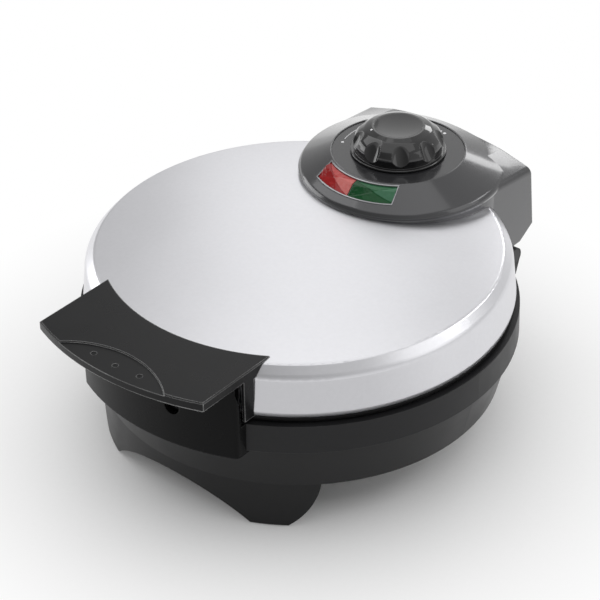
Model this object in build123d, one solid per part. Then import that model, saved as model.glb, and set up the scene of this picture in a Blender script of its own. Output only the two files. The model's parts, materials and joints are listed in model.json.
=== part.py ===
from build123d import *
import math
import os

# Round waffle maker for the counter: a black base on four moulded feet carries the
# lower grid plate, and a stainless lid with the upper plate folds back on two pins at
# the rear. A glossy housing over the lid's rear holds the thermostat dial and two
# indicator lenses. All lengths are millimetres. While it is built, the round body's
# axis is x = y = 0, the table is z = 0, the handles point to -Y and the hinge lies
# at +Y. At export every piece moves along Y, so that the origin is under the middle.

# Base ring, the band round the top of the base
base_radius = 122.9
band_flare = 0.4
band_bottom = 58.1
band_height = 16.9
shell = 2.5
ledge_thickness = 2.6

# Base housing, the bowl under the band, and its four feet
wall_step = 2.2
skirt_inset = 8.9
skirt_bottom = 29.5
foot_inset = 0.7
foot_bottom = 1.0
foot_floor = 4.0
foot_azimuth = 30.9
foot_half_width = 10.0
foot_depth = 22.5
flank_mid_reach = 12.7
flank_mid_height = 15.0
flank_top_reach = 17.7
apron_half_length = 58.0
arch_half_span = 48.6
arch_height = 21.3
spigot_height = 4.6
spigot_gap = 0.3
floor_width = 42.0

# Bottom cover and its vents
cover_overlap = 8.5
cover_thickness = 2.0
vent_length = 36.0
vent_width = 4.0
vent_pitch = 12.0
vent_count = 5
cover_screw_inset = 4.3

# Rubber pads under the feet
pad_radius = 7.5
pad_recess = 2.0
pad_inset = 11.3

# Waffle plates
parting_gap = 1.4
rim_gap = 0.6
rim_inset = 15.9
rim_thickness = 2.6
rim_width = 5.4
dish_depth = 12.0
casting = 3.0
dish_draft = 1.4
peg_pitch = 21.0
peg_first = 15.5
peg_base = 13.6
peg_taper = 9.0
peg_height = 9.4
peg_margin = 5.1
rib_width = 3.2
rib_height = 9.6
plate_post_radius = 4.5
plate_post_inset = 20.0
plate_post_azimuth = 60.0

# Heating elements, clamps and reflectors, mirrored between base and lid
element_inset = 33.6
element_radius = 3.25
element_gap_angle = 40.0
element_leg = 7.0
element_pin_radius = 1.5
element_pin_length = 6.0
insulator_radius = 4.6
insulator_height = 4.0
clamp_length = 27.0
clamp_width = 12.0
clamp_thickness = 1.2
clamp_post_radius = 3.2
clamp_post_spread = 10.0
reflector_inset = 6.6
reflector_thickness = 0.6
reflector_rim = 6.0
reflector_drop = 10.6
fuse_radius = 2.6
fuse_length = 22.0
fuse_place = -30.0

# Lid
ring_height = 2.6
ring_inset = 0.8
steel = 0.7
steel_curl = 3.0
steel_inset = 2.3
shoulder_inset = 2.2
shoulder_rise = 23.3
crease_inset = 5.2
crease_rise = 5.7
crown_rise = 6.0
crease_round = 2.6
shoulder_round = 6.0
ring_wall_height = 17.0
ring_wall = 2.6
tab_width = 12.0
tab_thickness = 3.0

# Lid handle
handle_length = 31.6
handle_half_width = 57.3
handle_overlap = 4.6
handle_top_gap = 1.1
handle_thickness = 5.1
handle_lip = 1.5
handle_edge_round = 1.1
thumb_half_width = 37.2
thumb_inset = 18.5
thumb_depth = 1.0
dimple_inset = 8.2
dimple_spread = 16.0
dimple_radius = 1.7
dimple_depth = 0.7
bracket_wall = 1.9
bracket_inset = 7.6
handle_back_wall = 2.6
handle_back_half_width = 50.0
handle_screw_azimuth = 8.8
handle_screw_rise = 5.0

# Lower handle, the curved front wall
front_gap = 6.4
front_drop = 2.0
front_wall = 3.0
front_cut_top = 10.5
front_half_width = 55.0
front_corner_round = 3.0
front_rise = 27.0
access_hole_radius = 4.5
lower_screw_spread = 30.0
lower_screw_rise = 7.9

# Hinge
pivot_offset = 0.3
pivot_drop = 14.0
lug_radius = 5.6
lug_outer = 62.0
lug_width = 11.0
lug_depth = 12.5
lug_lean = 4.2
arm_radius = 5.6
arm_width = 10.4
arm_gap = 0.6
arm_inset = 3.2
arm_thickness = 10.0
arm_rise = 36.0
pin_radius = 3.0
pin_head_radius = 4.4
pin_head_height = 1.5

# Control housing
dial_inset = 33.1
housing_radius = 60.4
housing_draft = 0.5
housing_wall = 2.5
housing_side_round = 4.5
dial_stand = 13.0
roof_half_width = 39.5
roof_front_drops = (0.2, 0.6, 10.1)
roof_rear_drops = (5.0, 9.0, 14.4)
roof_front_narrowing = 0.7
lip_offset = 4.2
lip_overhang = 0.2
lip_set_back = 1.6
lip_drop = 10.0
lip_height = 2.6
lip_round = 2.2
rear_overhang = 19.1
rear_lean = 5.8
rear_bottom_rise = 7.1
tip_overhang = 6.8
tip_rise = 6.9
lobe_rise = 1.6
opening_reach = 3.0
housing_boss_radius = 4.0
housing_boss_x = 42.0
housing_boss_front = 17.8
housing_boss_rear = 8.2

# Dial plate, knob and thermostat
dial_radius = 38.4
dial_rim = 0.7
dial_recess = 0.5
dial_thickness = 1.4
knob_skirt_radius = 27.6
knob_skirt_height = 1.3
knob_waist_radius = 25.6
knob_radius = 26.0
knob_widest_height = 5.0
knob_hollow_radius = 18.0
knob_height = 15.4
knob_lift = 0.6
knob_wall = 2.4
knob_shoulder_radius = 24.2
knob_shoulder_drop = 5.0
knob_brow_radius = 19.0
knob_brow_drop = 1.4
cap_radius = 14.0
cap_thickness = 1.6
cap_dish = 1.0
flute_count = 9
flute_radius = 6.9
flute_arc = 30.0
flute_stand = 2.8
flute_rise = 10.5
flute_lean = 30.0
hub_radius = 6.0
clip_thickness = 1.0
clip_height = 4.0
clip_gap = 2.4
shaft_radius = 3.0
shaft_flat = 2.2
bush_radius = 5.0
nut_radius = 8.0
nut_height = 2.6
thermostat_width = 24.0
thermostat_depth = 15.0
thermostat_height = 12.5
sensor_height = 1.2
sensor_radius = 5.0
bracket_plate = 1.2
bracket_half_width = 22.0
bracket_foot = 10.0
bracket_boss_height = 4.0

# Indicator lenses and lamps
lens_inner = 40.4
lens_outer = 49.8
lens_half_width = 23.2
lens_end_lean = 14.0
lens_turn = 2.0
lens_gap = 0.5
lens_ridge = 44.0
lens_stand = 0.6
lens_depth = 2.0
lens_side_room = 3.0
bezel_width = 0.7
lamp_radius = 1.7
lamp_length = 9.0
lamp_spread = 13.0
holder_thickness = 0.8
holder_wall = 0.6

# Cord gland
gland_rise = 12.5
gland_bore = 3.6
gland_neck = 6.5
gland_flange = 10.0
gland_flange_thickness = 3.0
gland_seat_stand = 4.5
gland_seat_radius = 12.0
gland_nut_height = 5.0
gland_nose = 3.0

# Wires inside
wire_radius = 1.1
lamp_wire_radius = 0.8
lamp_wire_spread = 8.0
lamp_wire_offset = 14.8
lamp_wire_room = 6.0

# Terminal block
block_half_width = 20.0
block_depth = 18.0
block_height = 14.0
block_inset = 26.5
block_post_count = 3
block_post_pitch = 12.0

# Screws
screw_radius = 2.0
screw_head_radius = 3.8
screw_head_height = 2.2
small_screw_radius = 1.5
small_head_radius = 2.8
small_head_height = 1.6
boss_wall = 1.0

# Clearances
touch = 0.05
seat = 0.15
pin_fit = 0.05
swing_gap = 0.4
past = 1.0
room_above = 5.0
far = 400.0

# Radii and reaches that follow from the base ring
skirt_radius = base_radius - skirt_inset
foot_radius = skirt_radius - foot_inset
pad_reach = foot_radius - pad_inset
floor_hole_radius = skirt_radius - floor_width
cover_radius = floor_hole_radius + cover_overlap
cover_screw_radius = cover_radius - cover_screw_inset
rim_radius = base_radius - rim_inset
cooking_radius = rim_radius - rim_width
peg_limit = cooking_radius - peg_margin
plate_post_reach = rim_radius - plate_post_inset
element_ring = cooking_radius - element_inset
reflector_radius = cooking_radius - reflector_inset
steel_radius = base_radius - steel_inset
shoulder_radius = steel_radius - shoulder_inset
crease_radius = shoulder_radius - crease_inset
handle_reach = base_radius + handle_length
handle_inner_radius = crease_radius - handle_overlap
thumb_apex = handle_reach - thumb_inset
dimple_reach = handle_reach - dimple_inset
bracket_front = steel_radius - bracket_inset
front_radius = base_radius + front_gap
pivot_y = base_radius + pivot_offset
arm_front = steel_radius - arm_inset
arm_rear = arm_front + arm_thickness
dial_y = base_radius - dial_inset
lip_y = dial_y + lip_offset
lip_radius = housing_radius + lip_overhang
rear_bottom_y = base_radius + rear_overhang
tip_y = base_radius + tip_overhang
lamp_wire_y = dial_y - lamp_wire_offset
gland_seat_y = skirt_radius + gland_seat_stand
block_y = skirt_radius - block_inset

# Heights and fits that follow from the sizes above
band_top = band_bottom + band_height
gland_z = skirt_bottom + gland_rise
lower_screw_height = band_bottom + lower_screw_rise
handle_screw_height = band_top + handle_screw_rise
front_top = band_top + front_rise
pivot_z = band_top - pivot_drop
lug_bottom = pivot_z - lug_depth
arm_top = pivot_z + arm_rise
tip_z = pivot_z + tip_rise
rear_bottom_z = tip_z + rear_bottom_rise
parting = band_top + parting_gap / 2
ring_bottom = band_top + parting_gap
steel_bottom = ring_bottom + ring_height
shoulder_z = steel_bottom + shoulder_rise
crease_z = shoulder_z + crease_rise
crown_z = crease_z + crown_rise
plate_top = parting - rim_gap / 2
ledge_z = plate_top - rim_thickness
dish_floor = plate_top - dish_depth
plate_back = dish_floor - casting
element_z = plate_back - element_radius - touch
clamp_z = element_z - element_radius - touch
reflector_z = plate_back - reflector_drop
ring_seat_radius = rim_radius + spigot_gap
ledge_radius = cooking_radius + casting + spigot_gap
inner_band_radius = base_radius - shell
handle_top = crease_z + handle_top_gap
handle_bottom = handle_top - handle_thickness
dial_height = crown_z + dial_stand
dial_floor = dial_height - dial_recess
thermostat_top = 2 * parting - plate_back + sensor_height + thermostat_height
knob_bottom = dial_floor + knob_lift
knob_top = knob_bottom + knob_height
rear_reach = rear_bottom_y
frame_shift = (handle_reach - rear_reach) / 2


def disc(radius, low, high, x=0.0, y=0.0):
    """A round bar standing on z = low."""
    return Pos(x, y, (low + high) / 2) * Cylinder(radius, high - low)


def tube(outer, inner, low, high, x=0.0, y=0.0):
    """A round bar with a hole along its axis."""
    return disc(outer, low, high, x, y) - disc(inner, low - past, high + past, x, y)


def block(x0, x1, y0, y1, z0, z1):
    """A box between two corners."""
    return Pos((x0 + x1) / 2, (y0 + y1) / 2, (z0 + z1) / 2) * Box(x1 - x0, y1 - y0, z1 - z0)


def bar_x(radius, x0, x1, y, z):
    """A round bar that lies along X."""
    return Pos((x0 + x1) / 2, y, z) * Rot(0, 90, 0) * Cylinder(radius, x1 - x0)


def bar_y(radius, y0, y1, x, z):
    """A round bar that lies along Y."""
    return Pos(x, (y0 + y1) / 2, z) * Rot(90, 0, 0) * Cylinder(radius, y1 - y0)


def turned(points):
    """A solid turned about the Z axis from a closed outline of (radius, z) points."""
    outline = Polyline(*points, close=True)
    return revolve(Plane.XZ * make_face(outline), Axis.Z)


def side_slab(points, half_width):
    """A closed outline of (y, z) points, as thick as twice half_width, across X."""
    outline = Polyline(*points, close=True)
    return extrude(Plane.YZ * make_face(outline), half_width, both=True)


def at_azimuth(angle, thing):
    """Turn a thing that was built towards -Y, so that it points at this azimuth."""
    return Rot(0, 0, angle) * thing


def four_azimuths(angle):
    """The azimuths of four places that mirror each other, left, right, front and rear."""
    return (angle, -angle, 180 - angle, 180 + angle)


def mirrored_x(thing):
    """The same thing on the other side of the YZ plane."""
    return mirror(thing, about=Plane.YZ)


def to_lid(thing):
    """The same thing for the lid, mirrored across the parting plane."""
    return mirror(thing, about=Plane.XY.offset(parting))


def group(things):
    """Several separate solids in one node."""
    solids = []
    for thing in things:
        solids.extend(thing.solids())
    return Compound(solids)


def screw_down(x, y, head_z, length, radius=screw_radius, head=screw_head_radius,
               height=screw_head_height):
    """A pan head screw whose head sits on z = head_z and whose shank points down."""
    shank = disc(radius, head_z - length, head_z, x, y)
    return shank + disc(head, head_z, head_z + height, x, y)


def screw_up(x, y, head_z, length, radius=screw_radius, head=screw_head_radius,
             height=screw_head_height):
    """A pan head screw whose head hangs under z = head_z and whose shank points up."""
    shank = disc(radius, head_z, head_z + length, x, y)
    return shank + disc(head, head_z - height, head_z, x, y)


def dome_z(radius):
    """Height of the lid's top surface at a distance from its axis."""
    return crown_z - crown_rise * (radius / crease_radius) ** 2


def lid_envelope(growth=0.0):
    """The lid cover's outer form as a solid, grown or shrunk by a distance."""
    near_crease = crease_radius - crease_round - 1.5
    low = steel_bottom - (growth if growth > 0 else 0.0)
    crown = ThreePointArc(
        (0, crown_z + growth),
        (near_crease / 2, dome_z(near_crease / 2) + growth),
        (near_crease, dome_z(near_crease) + growth),
    )
    side = FilletPolyline(
        (near_crease, dome_z(near_crease) + growth),
        (crease_radius + growth * 0.6, crease_z + growth),
        (shoulder_radius + growth, shoulder_z + growth * 0.5),
        (steel_radius + growth, steel_bottom + steel_curl),
        (steel_radius + growth - ring_inset, low),
        radius=[crease_round, shoulder_round, steel_curl],
    )
    base = Line((steel_radius + growth - ring_inset, low), (0, low))
    axis = Line((0, low), (0, crown_z + growth))
    face = make_face(crown + side + base + axis)
    return revolve(Plane.XZ * face, Axis.Z)


def band_envelope(growth=0.0):
    """The outside of the base ring, band height only."""
    return turned([
        (0, band_bottom - growth),
        (base_radius + band_flare + growth, band_bottom - growth),
        (base_radius + growth, band_top + growth),
        (0, band_top + growth),
    ])


def skirt_outline(inset):
    """The bowl's outer line from its top edge to the feet, moved inwards by inset."""
    return [
        (base_radius - wall_step - inset, band_bottom),
        (skirt_radius - inset, skirt_bottom),
        (foot_radius - inset, foot_bottom),
    ]


def skirt_envelope(growth=0.0):
    """The bowl as a solid, from the feet's soles to the band."""
    top, knee, sole = skirt_outline(-growth)
    return turned([(0, sole[1]), sole, knee, top, (0, top[1])])


def flank_cutter(inset):
    """What is cut off a foot on the side that faces along the object."""
    start = foot_half_width - inset
    low = foot_bottom - 1
    curve = ThreePointArc(
        (start, foot_bottom),
        (start + flank_mid_reach, flank_mid_height),
        (start + flank_top_reach, skirt_bottom),
    )
    rest = Polyline(
        (start + flank_top_reach, skirt_bottom),
        (far / 4, skirt_bottom),
        (far / 4, low),
        (start, low),
        (start, foot_bottom),
    )
    face = Plane.XZ * make_face(curve + rest)
    return extrude(face, far / 2)


def foot_profile(inset):
    """The foot as seen from its own front, with the flank not yet cut."""
    half = foot_half_width - inset
    bottom = foot_bottom + (foot_floor if inset > 0 else 0.0)
    rise = flank_mid_height
    outline = Polyline(
        (-half, bottom),
        (half + far / 8, bottom),
        (half + far / 8, skirt_bottom + shell),
        (-half - rise, skirt_bottom + shell),
        (-half - rise, flank_mid_height + inset),
        close=True,
    )
    return Plane.XZ * make_face(outline)


def foot_block(inset):
    """One foot's block towards -Y, to be turned to its azimuth."""
    reach = foot_radius - foot_depth + inset
    bar = extrude(foot_profile(inset), far / 2)
    bar = bar - flank_cutter(inset)
    keep = block(-far / 4, far / 4, -far / 2, -reach, 0, skirt_bottom + shell)
    return bar & keep


def arch_cutter():
    """The front and rear arches between the feet, a bar that lies along Y."""
    rise = arch_height - foot_bottom
    radius = (arch_half_span ** 2 + rise ** 2) / (2 * rise)
    return bar_y(radius, -far / 2, far / 2, 0, arch_height - radius)


def base_housing():
    """The bowl with its floor ring, four hollow feet, standoffs and gland seat."""
    top, knee, sole = skirt_outline(0)
    inner_top, inner_knee, inner_sole = skirt_outline(shell)
    wall = turned([top, knee, sole, inner_sole, inner_knee, inner_top])
    wall = wall - block(-far, far, -apron_half_length, apron_half_length, 0, skirt_bottom)
    wall = wall - arch_cutter()
    inside = skirt_envelope(-touch)
    pockets = []
    for angle in four_azimuths(foot_azimuth):
        mirror_it = angle < 0 or angle == 180 - foot_azimuth
        cutter = flank_cutter(0)
        outer = foot_block(0)
        hollow = foot_block(shell)
        if mirror_it:
            cutter = mirrored_x(cutter)
            outer = mirrored_x(outer)
            hollow = mirrored_x(hollow)
        wall = wall - at_azimuth(angle, cutter)
        pockets.append((at_azimuth(angle, outer), at_azimuth(angle, hollow)))
    floor = disc(skirt_radius - past, skirt_bottom, skirt_bottom + shell) & inside
    floor = floor - disc(floor_hole_radius, 0, far)
    body = wall + floor
    core = skirt_envelope(-shell)
    for outer, hollow in pockets:
        body = body + (outer & inside)
        body = body - (hollow & core)
    spigot = tube(
        inner_band_radius - spigot_gap,
        inner_band_radius - spigot_gap - shell,
        band_bottom - shell,
        band_bottom + spigot_height,
    )
    body = body + spigot
    for angle in four_azimuths(plate_post_azimuth):
        post = disc(plate_post_radius, skirt_bottom, reflector_z, 0, -plate_post_reach)
        hole = disc(screw_radius + touch, 0, far, 0, -plate_post_reach)
        body = body + at_azimuth(angle, post) - at_azimuth(angle, hole)
    for angle in four_azimuths(foot_azimuth):
        recess = disc(pad_radius + touch, 0, foot_bottom + pad_recess, 0, -pad_reach)
        body = body - at_azimuth(angle, recess)
    seat_bar = bar_y(gland_seat_radius, gland_seat_y - gland_seat_radius, gland_seat_y, 0, gland_z)
    body = body + seat_bar - bar_y(gland_neck + touch, 0, far / 2, 0, gland_z)
    body = body - bar_y(gland_flange + seat, gland_seat_y, far / 2, 0, gland_z)
    for angle in cover_screw_angles():
        hole = disc(small_screw_radius + touch, skirt_bottom - past, skirt_bottom + shell + past,
                    0, -cover_screw_radius)
        body = body - at_azimuth(angle, hole)
    return body


def cover_screw_angles():
    """The azimuths of the bottom cover's screws."""
    return four_azimuths(45.0)


def bottom_cover():
    """The sheet under the floor ring, with a row of vents across the middle."""
    cover = disc(cover_radius, skirt_bottom - cover_thickness, skirt_bottom)
    for index in range(vent_count):
        x = (index - (vent_count - 1) / 2) * vent_pitch
        slot = block(x - vent_width / 2, x + vent_width / 2, -vent_length / 2, vent_length / 2, 0, far)
        cover = cover - slot
    for angle in cover_screw_angles():
        cover = cover - at_azimuth(angle, disc(small_screw_radius + touch, 0, far, 0, -cover_screw_radius))
    return cover


def bottom_cover_screws():
    """Four small screws from below, through the cover into the floor ring."""
    low = skirt_bottom - cover_thickness
    screws = []
    for angle in cover_screw_angles():
        screw = screw_up(0, -cover_screw_radius, low, cover_thickness + shell,
                         small_screw_radius, small_head_radius, small_head_height)
        screws.append(at_azimuth(angle, screw))
    return group(screws)


def foot_pads():
    """Four rubber pads, each pressed into the sole of a foot."""
    pads = []
    for angle in four_azimuths(foot_azimuth):
        pad = disc(pad_radius, 0, foot_bottom + pad_recess, 0, -pad_reach)
        pads.append(at_azimuth(angle, pad))
    return group(pads)


def hinge_lug():
    """The right hinge lug of the base, a cheek that stands out behind the band."""
    inner = lug_outer - lug_width
    eye = bar_x(lug_radius, inner, lug_outer, pivot_y, pivot_z)
    front = inner_band_radius * 0.8
    cheek = side_slab(
        [
            (pivot_y + lug_radius, pivot_z),
            (pivot_y + lug_radius - lug_lean, lug_bottom),
            (front, lug_bottom),
            (front, pivot_z + lug_radius),
            (pivot_y, pivot_z + lug_radius),
        ],
        far / 4,
    )
    cheek = cheek & block(inner, lug_outer, 0, far, 0, far)
    return eye + cheek


def base_ring():
    """The band with its plate ledge, the two hinge lugs and the front handle bosses."""
    body = turned([
        (base_radius + band_flare, band_bottom),
        (base_radius, band_top),
        (ring_seat_radius, band_top),
        (ring_seat_radius, ledge_z),
        (ledge_radius, ledge_z),
        (ledge_radius, ledge_z - ledge_thickness),
        (inner_band_radius, ledge_z - ledge_thickness),
        (inner_band_radius, band_bottom),
    ])
    lug = hinge_lug() - skirt_envelope(seat) - disc(inner_band_radius, 0, far)
    for side in (lug, mirrored_x(lug)):
        body = body + side
    for x in (-lower_screw_spread, lower_screw_spread):
        boss = bar_y(screw_head_radius + boss_wall, -inner_band_radius - past, lower_boss_face(), x, lower_screw_height)
        body = body + (boss & band_envelope(-touch))
        body = body - bar_y(screw_radius + touch, -far / 2, 0, x, lower_screw_height)
    low = inner_band_radius - spigot_gap - shell - seat
    body = body - tube(inner_band_radius, low, band_bottom - past, band_bottom + spigot_height + spigot_gap)
    bore = pin_radius + touch
    for x0, x1 in pin_spans():
        body = body - bar_x(bore, x0, x1, pivot_y, pivot_z)
    for x in (-lug_outer, lug_outer):
        body = body - bar_x(pin_head_radius + touch, x - pin_head_height, x + pin_head_height,
                            pivot_y, pivot_z)
    return body


def lower_boss_face():
    """Where the lower handle's screw heads sit, inside the band."""
    return -(inner_band_radius - shell * 3)


def pin_spans():
    """Where the two hinge pins start and end along X."""
    inner = lug_outer - lug_width - arm_gap - arm_width
    return ((-lug_outer, -inner), (inner, lug_outer))


def hinge_pins():
    """Two headed steel pins on one axis."""
    pins = []
    for x0, x1 in pin_spans():
        shank = bar_x(pin_radius, x0, x1, pivot_y, pivot_z)
        if x0 < 0:
            head = bar_x(pin_head_radius, x0, x0 + pin_head_height, pivot_y, pivot_z)
        else:
            head = bar_x(pin_head_radius, x1 - pin_head_height, x1, pivot_y, pivot_z)
        pins.append(shank + head)
    return group(pins)


def handle_plan(radius, half_width, low, high):
    """Everything inside a radius and a half width on the -Y side, between two heights."""
    return disc(radius, low, high) & block(-half_width, half_width, -far / 2, -base_radius / 2, low, high)


def lower_handle():
    """The curved front wall of the base, a tray with a floor and two side returns."""
    low = band_bottom - front_drop
    outer = handle_plan(front_radius, front_half_width, low, front_top)
    corners = outer.edges().filter_by(Axis.Z).sort_by(Axis.Y)[:2]
    outer = fillet(corners, front_corner_round)
    inner = handle_plan(front_radius - front_wall, front_half_width - front_wall,
                        low + front_wall, front_top + past)
    body = outer - inner - band_envelope(touch) - skirt_envelope(touch)
    clear = tube(handle_back_outer() + swing_gap * 2, 1, band_top + touch, far)
    clear = clear + disc(2, 0, far)
    body = body - clear
    slope = side_slab(
        [
            (-front_radius + front_cut_top, front_top + past),
            (-base_radius + front_wall * 4, band_top + touch),
            (0, band_top + touch),
            (0, front_top + past),
        ],
        far / 4,
    )
    body = body - slope
    for x in (-lower_screw_spread, lower_screw_spread):
        front = -math.sqrt((front_radius - front_wall / 2) ** 2 - x ** 2)
        boss = bar_y(screw_head_radius + boss_wall, front, -base_radius / 2, x, lower_screw_height)
        body = body + (boss - band_envelope(touch))
        hole_end = -math.sqrt(front_radius ** 2 - x ** 2) + front_wall
        body = body - bar_y(screw_radius + touch, hole_end, 0, x, lower_screw_height)
    for angle in (-handle_screw_azimuth, handle_screw_azimuth):
        hole = bar_y(access_hole_radius, -far / 2, -base_radius, 0, handle_screw_height)
        body = body - at_azimuth(angle, hole)
    return body


def lower_handle_screws():
    """Two screws from inside the base ring into the lower handle."""
    screws = []
    for x in (-lower_screw_spread, lower_screw_spread):
        face = lower_boss_face()
        tip = -math.sqrt(front_radius ** 2 - x ** 2) + front_wall + seat
        shank = bar_y(screw_radius, tip, face, x, lower_screw_height)
        head = bar_y(screw_head_radius, face, face + screw_head_height, x, lower_screw_height)
        screws.append(shank + head)
    return group(screws)


def peg_rows():
    """The distances of the peg rows from the plate's middle lines."""
    rows = []
    place = peg_first
    while place - peg_base / 2 < peg_limit:
        rows.append(place)
        place = place + peg_pitch
    return rows


def waffle_pegs():
    """The square pegs of one plate, trimmed to the round."""
    single = extrude(Plane.XY * Rectangle(peg_base, peg_base), peg_height, taper=peg_taper)
    pegs = []
    for x in peg_rows():
        for y in peg_rows():
            corner = math.hypot(x - peg_base / 2, y - peg_base / 2)
            if corner < peg_limit - peg_base / 2:
                for sx, sy in ((1, 1), (-1, 1), (1, -1), (-1, -1)):
                    peg = Pos(sx * x, sy * y, dish_floor - touch) * single
                    if math.hypot(x + peg_base / 2, y + peg_base / 2) > peg_limit:
                        peg = peg & disc(peg_limit, 0, far)
                    pegs.append(peg)
    return pegs


def grid_plate():
    """The cast plate of the base: a round dish with pegs and two dividing ribs."""
    body = turned([
        (0, plate_back),
        (cooking_radius + casting - dish_draft, plate_back),
        (cooking_radius + casting, ledge_z),
        (rim_radius, ledge_z),
        (rim_radius, plate_top),
        (cooking_radius, plate_top),
        (cooking_radius - dish_draft, dish_floor),
        (0, dish_floor),
    ])
    rib = block(-rib_width / 2, rib_width / 2, -far, far, dish_floor - touch, dish_floor + rib_height)
    cross = (rib + Rot(0, 0, 90) * rib) & disc(cooking_radius, 0, far)
    body = body + cross + waffle_pegs()
    for angle in four_azimuths(plate_post_azimuth):
        post = disc(plate_post_radius, reflector_z + reflector_thickness, plate_back, 0, -plate_post_reach)
        hole = disc(screw_radius + touch, 0, plate_back, 0, -plate_post_reach)
        body = body + at_azimuth(angle, post) - at_azimuth(angle, hole)
    for angle in clamp_angles():
        for reach in clamp_post_places():
            post = disc(clamp_post_radius, clamp_z, plate_back, 0, -reach)
            hole = disc(small_screw_radius + touch, 0, plate_back, 0, -reach)
            body = body + at_azimuth(angle, post) - at_azimuth(angle, hole)
    return body


def clamp_angles():
    """The azimuths of the three element clamps."""
    return (0.0, 120.0, -120.0)


def clamp_post_places():
    """Distances of a clamp's two posts from the plate's middle."""
    return (element_ring - clamp_post_spread, element_ring + clamp_post_spread)


def element_end_angles():
    """The azimuths at which the heating element turns away from its ring."""
    return (180 - element_gap_angle / 2, 180 + element_gap_angle / 2)


def heating_element():
    """A tube heater bent to a ring, with two cold legs and their contact pins."""
    section = Plane.XZ * Pos(element_ring, element_z) * Circle(element_radius)
    sweep_angle = 360 - element_gap_angle
    ring = revolve(section, Axis.Z, sweep_angle)
    ring = Rot(0, 0, 90 + element_gap_angle / 2) * ring
    body = ring
    for angle in element_end_angles():
        knee = Pos(0, -element_ring, element_z) * Sphere(element_radius)
        leg = disc(element_radius, element_z - element_leg, element_z, 0, -element_ring)
        pin = disc(element_pin_radius, element_z - element_leg - element_pin_length, element_z,
                   0, -element_ring)
        body = body + at_azimuth(angle, knee + leg + pin)
    return body


def element_insulators():
    """Two ceramic collars round the heater's contact pins."""
    top = element_z - element_leg
    collars = []
    for angle in element_end_angles():
        collar = tube(insulator_radius, element_pin_radius + touch, top - insulator_height, top,
                      0, -element_ring)
        collars.append(at_azimuth(angle, collar))
    return group(collars)


def element_clamps():
    """Three flat straps that press the heater on the plate's back."""
    straps = []
    half = clamp_width / 2
    for angle in clamp_angles():
        strap = block(-half, half, -element_ring - clamp_length / 2, -element_ring + clamp_length / 2,
                      clamp_z - clamp_thickness, clamp_z)
        for reach in clamp_post_places():
            strap = strap - disc(small_screw_radius + touch, 0, far, 0, -reach)
        straps.append(at_azimuth(angle, strap))
    return group(straps)


def clamp_screws():
    """Two small screws for each strap."""
    screws = []
    depth = clamp_thickness + plate_back - clamp_z - seat
    for angle in clamp_angles():
        for reach in clamp_post_places():
            screw = screw_up(0, -reach, clamp_z - clamp_thickness, depth,
                             small_screw_radius, small_head_radius, small_head_height)
            screws.append(at_azimuth(angle, screw))
    return group(screws)


def heat_reflector():
    """A shallow aluminium dish behind the heater."""
    low = reflector_z
    dish = disc(reflector_radius, low, low + reflector_thickness)
    rim = tube(reflector_radius, reflector_radius - reflector_thickness, low, low + reflector_rim)
    body = dish + rim
    for angle in four_azimuths(plate_post_azimuth):
        body = body - at_azimuth(angle, disc(screw_radius + touch, 0, far, 0, -plate_post_reach))
    for angle in element_end_angles():
        body = body - at_azimuth(angle, disc(insulator_radius + swing_gap, 0, far, 0, -element_ring))
    return body


def lower_plate_screws():
    """Four long screws from under the floor ring up into the lower plate's posts."""
    length = plate_back - skirt_bottom - seat
    screws = []
    for angle in four_azimuths(plate_post_azimuth):
        screws.append(at_azimuth(angle, screw_up(0, -plate_post_reach, skirt_bottom, length)))
    return group(screws)


def thermal_fuse():
    """A sleeved one shot fuse that lies against the lower plate's back."""
    return bar_x(fuse_radius, -fuse_length / 2, fuse_length / 2, fuse_place, plate_back - fuse_radius - touch)


def fuse_clip():
    """The saddle that holds the fuse."""
    half = fuse_radius + clamp_thickness * 1.5
    low = plate_back - 2 * fuse_radius - clamp_thickness * 1.5
    slot = fuse_radius + touch
    saddle = block(-half, half, fuse_place - half, fuse_place + half, low, plate_back)
    saddle = saddle - bar_x(slot, -far, far, fuse_place, plate_back - slot)
    return saddle - block(-far, far, fuse_place - slot, fuse_place + slot, plate_back - slot, far)


def terminal_block():
    """The ceramic block on the floor ring where the mains lead ends."""
    low = skirt_bottom + shell
    body = block(-block_half_width, block_half_width, block_y - block_depth / 2,
                 block_y + block_depth / 2, low, low + block_height)
    for x in block_post_places():
        body = body - disc(small_screw_radius + touch, low + block_height / 2, far, x, block_y)
    return body


def block_post_places():
    """The places of the terminal screws along X."""
    middle = (block_post_count - 1) / 2
    return [(index - middle) * block_post_pitch for index in range(block_post_count)]


def terminal_screws():
    """One brass screw for each pole."""
    top = skirt_bottom + shell + block_height
    screws = []
    for x in block_post_places():
        screws.append(screw_down(x, block_y, top, block_height / 2 - seat,
                                 small_screw_radius, small_head_radius, small_head_height))
    return group(screws)


def cord_gland():
    """The inlet bush in the rear wall, with a flange outside and a nut inside."""
    inner_face = gland_seat_y - gland_seat_radius
    flange = bar_y(gland_flange, gland_seat_y, gland_seat_y + gland_flange_thickness, 0, gland_z)
    nose = bar_y(gland_neck, gland_seat_y, gland_seat_y + gland_flange_thickness + gland_nose, 0, gland_z)
    neck = bar_y(gland_neck, inner_face - gland_nut_height, gland_seat_y, 0, gland_z)
    body = flange + nose + neck
    return body - bar_y(gland_bore, 0, far / 2, 0, gland_z)


def gland_nut():
    """The nut that pulls the gland's flange against the wall."""
    inner_face = gland_seat_y - gland_seat_radius
    outline = RegularPolygon(gland_flange, 6)
    nut = extrude(Plane.XZ.offset(-inner_face) * outline, gland_nut_height)
    nut = Pos(0, 0, gland_z) * nut
    return nut - bar_y(gland_neck + touch, 0, far / 2, 0, gland_z)


def wire(points, radius, bends):
    """A round wire along straight runs joined by arcs."""
    path = FilletPolyline(*points, radius=bends)
    section = Plane(origin=path @ 0, z_dir=path % 0) * Circle(radius)
    return sweep(section, path=path)


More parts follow.
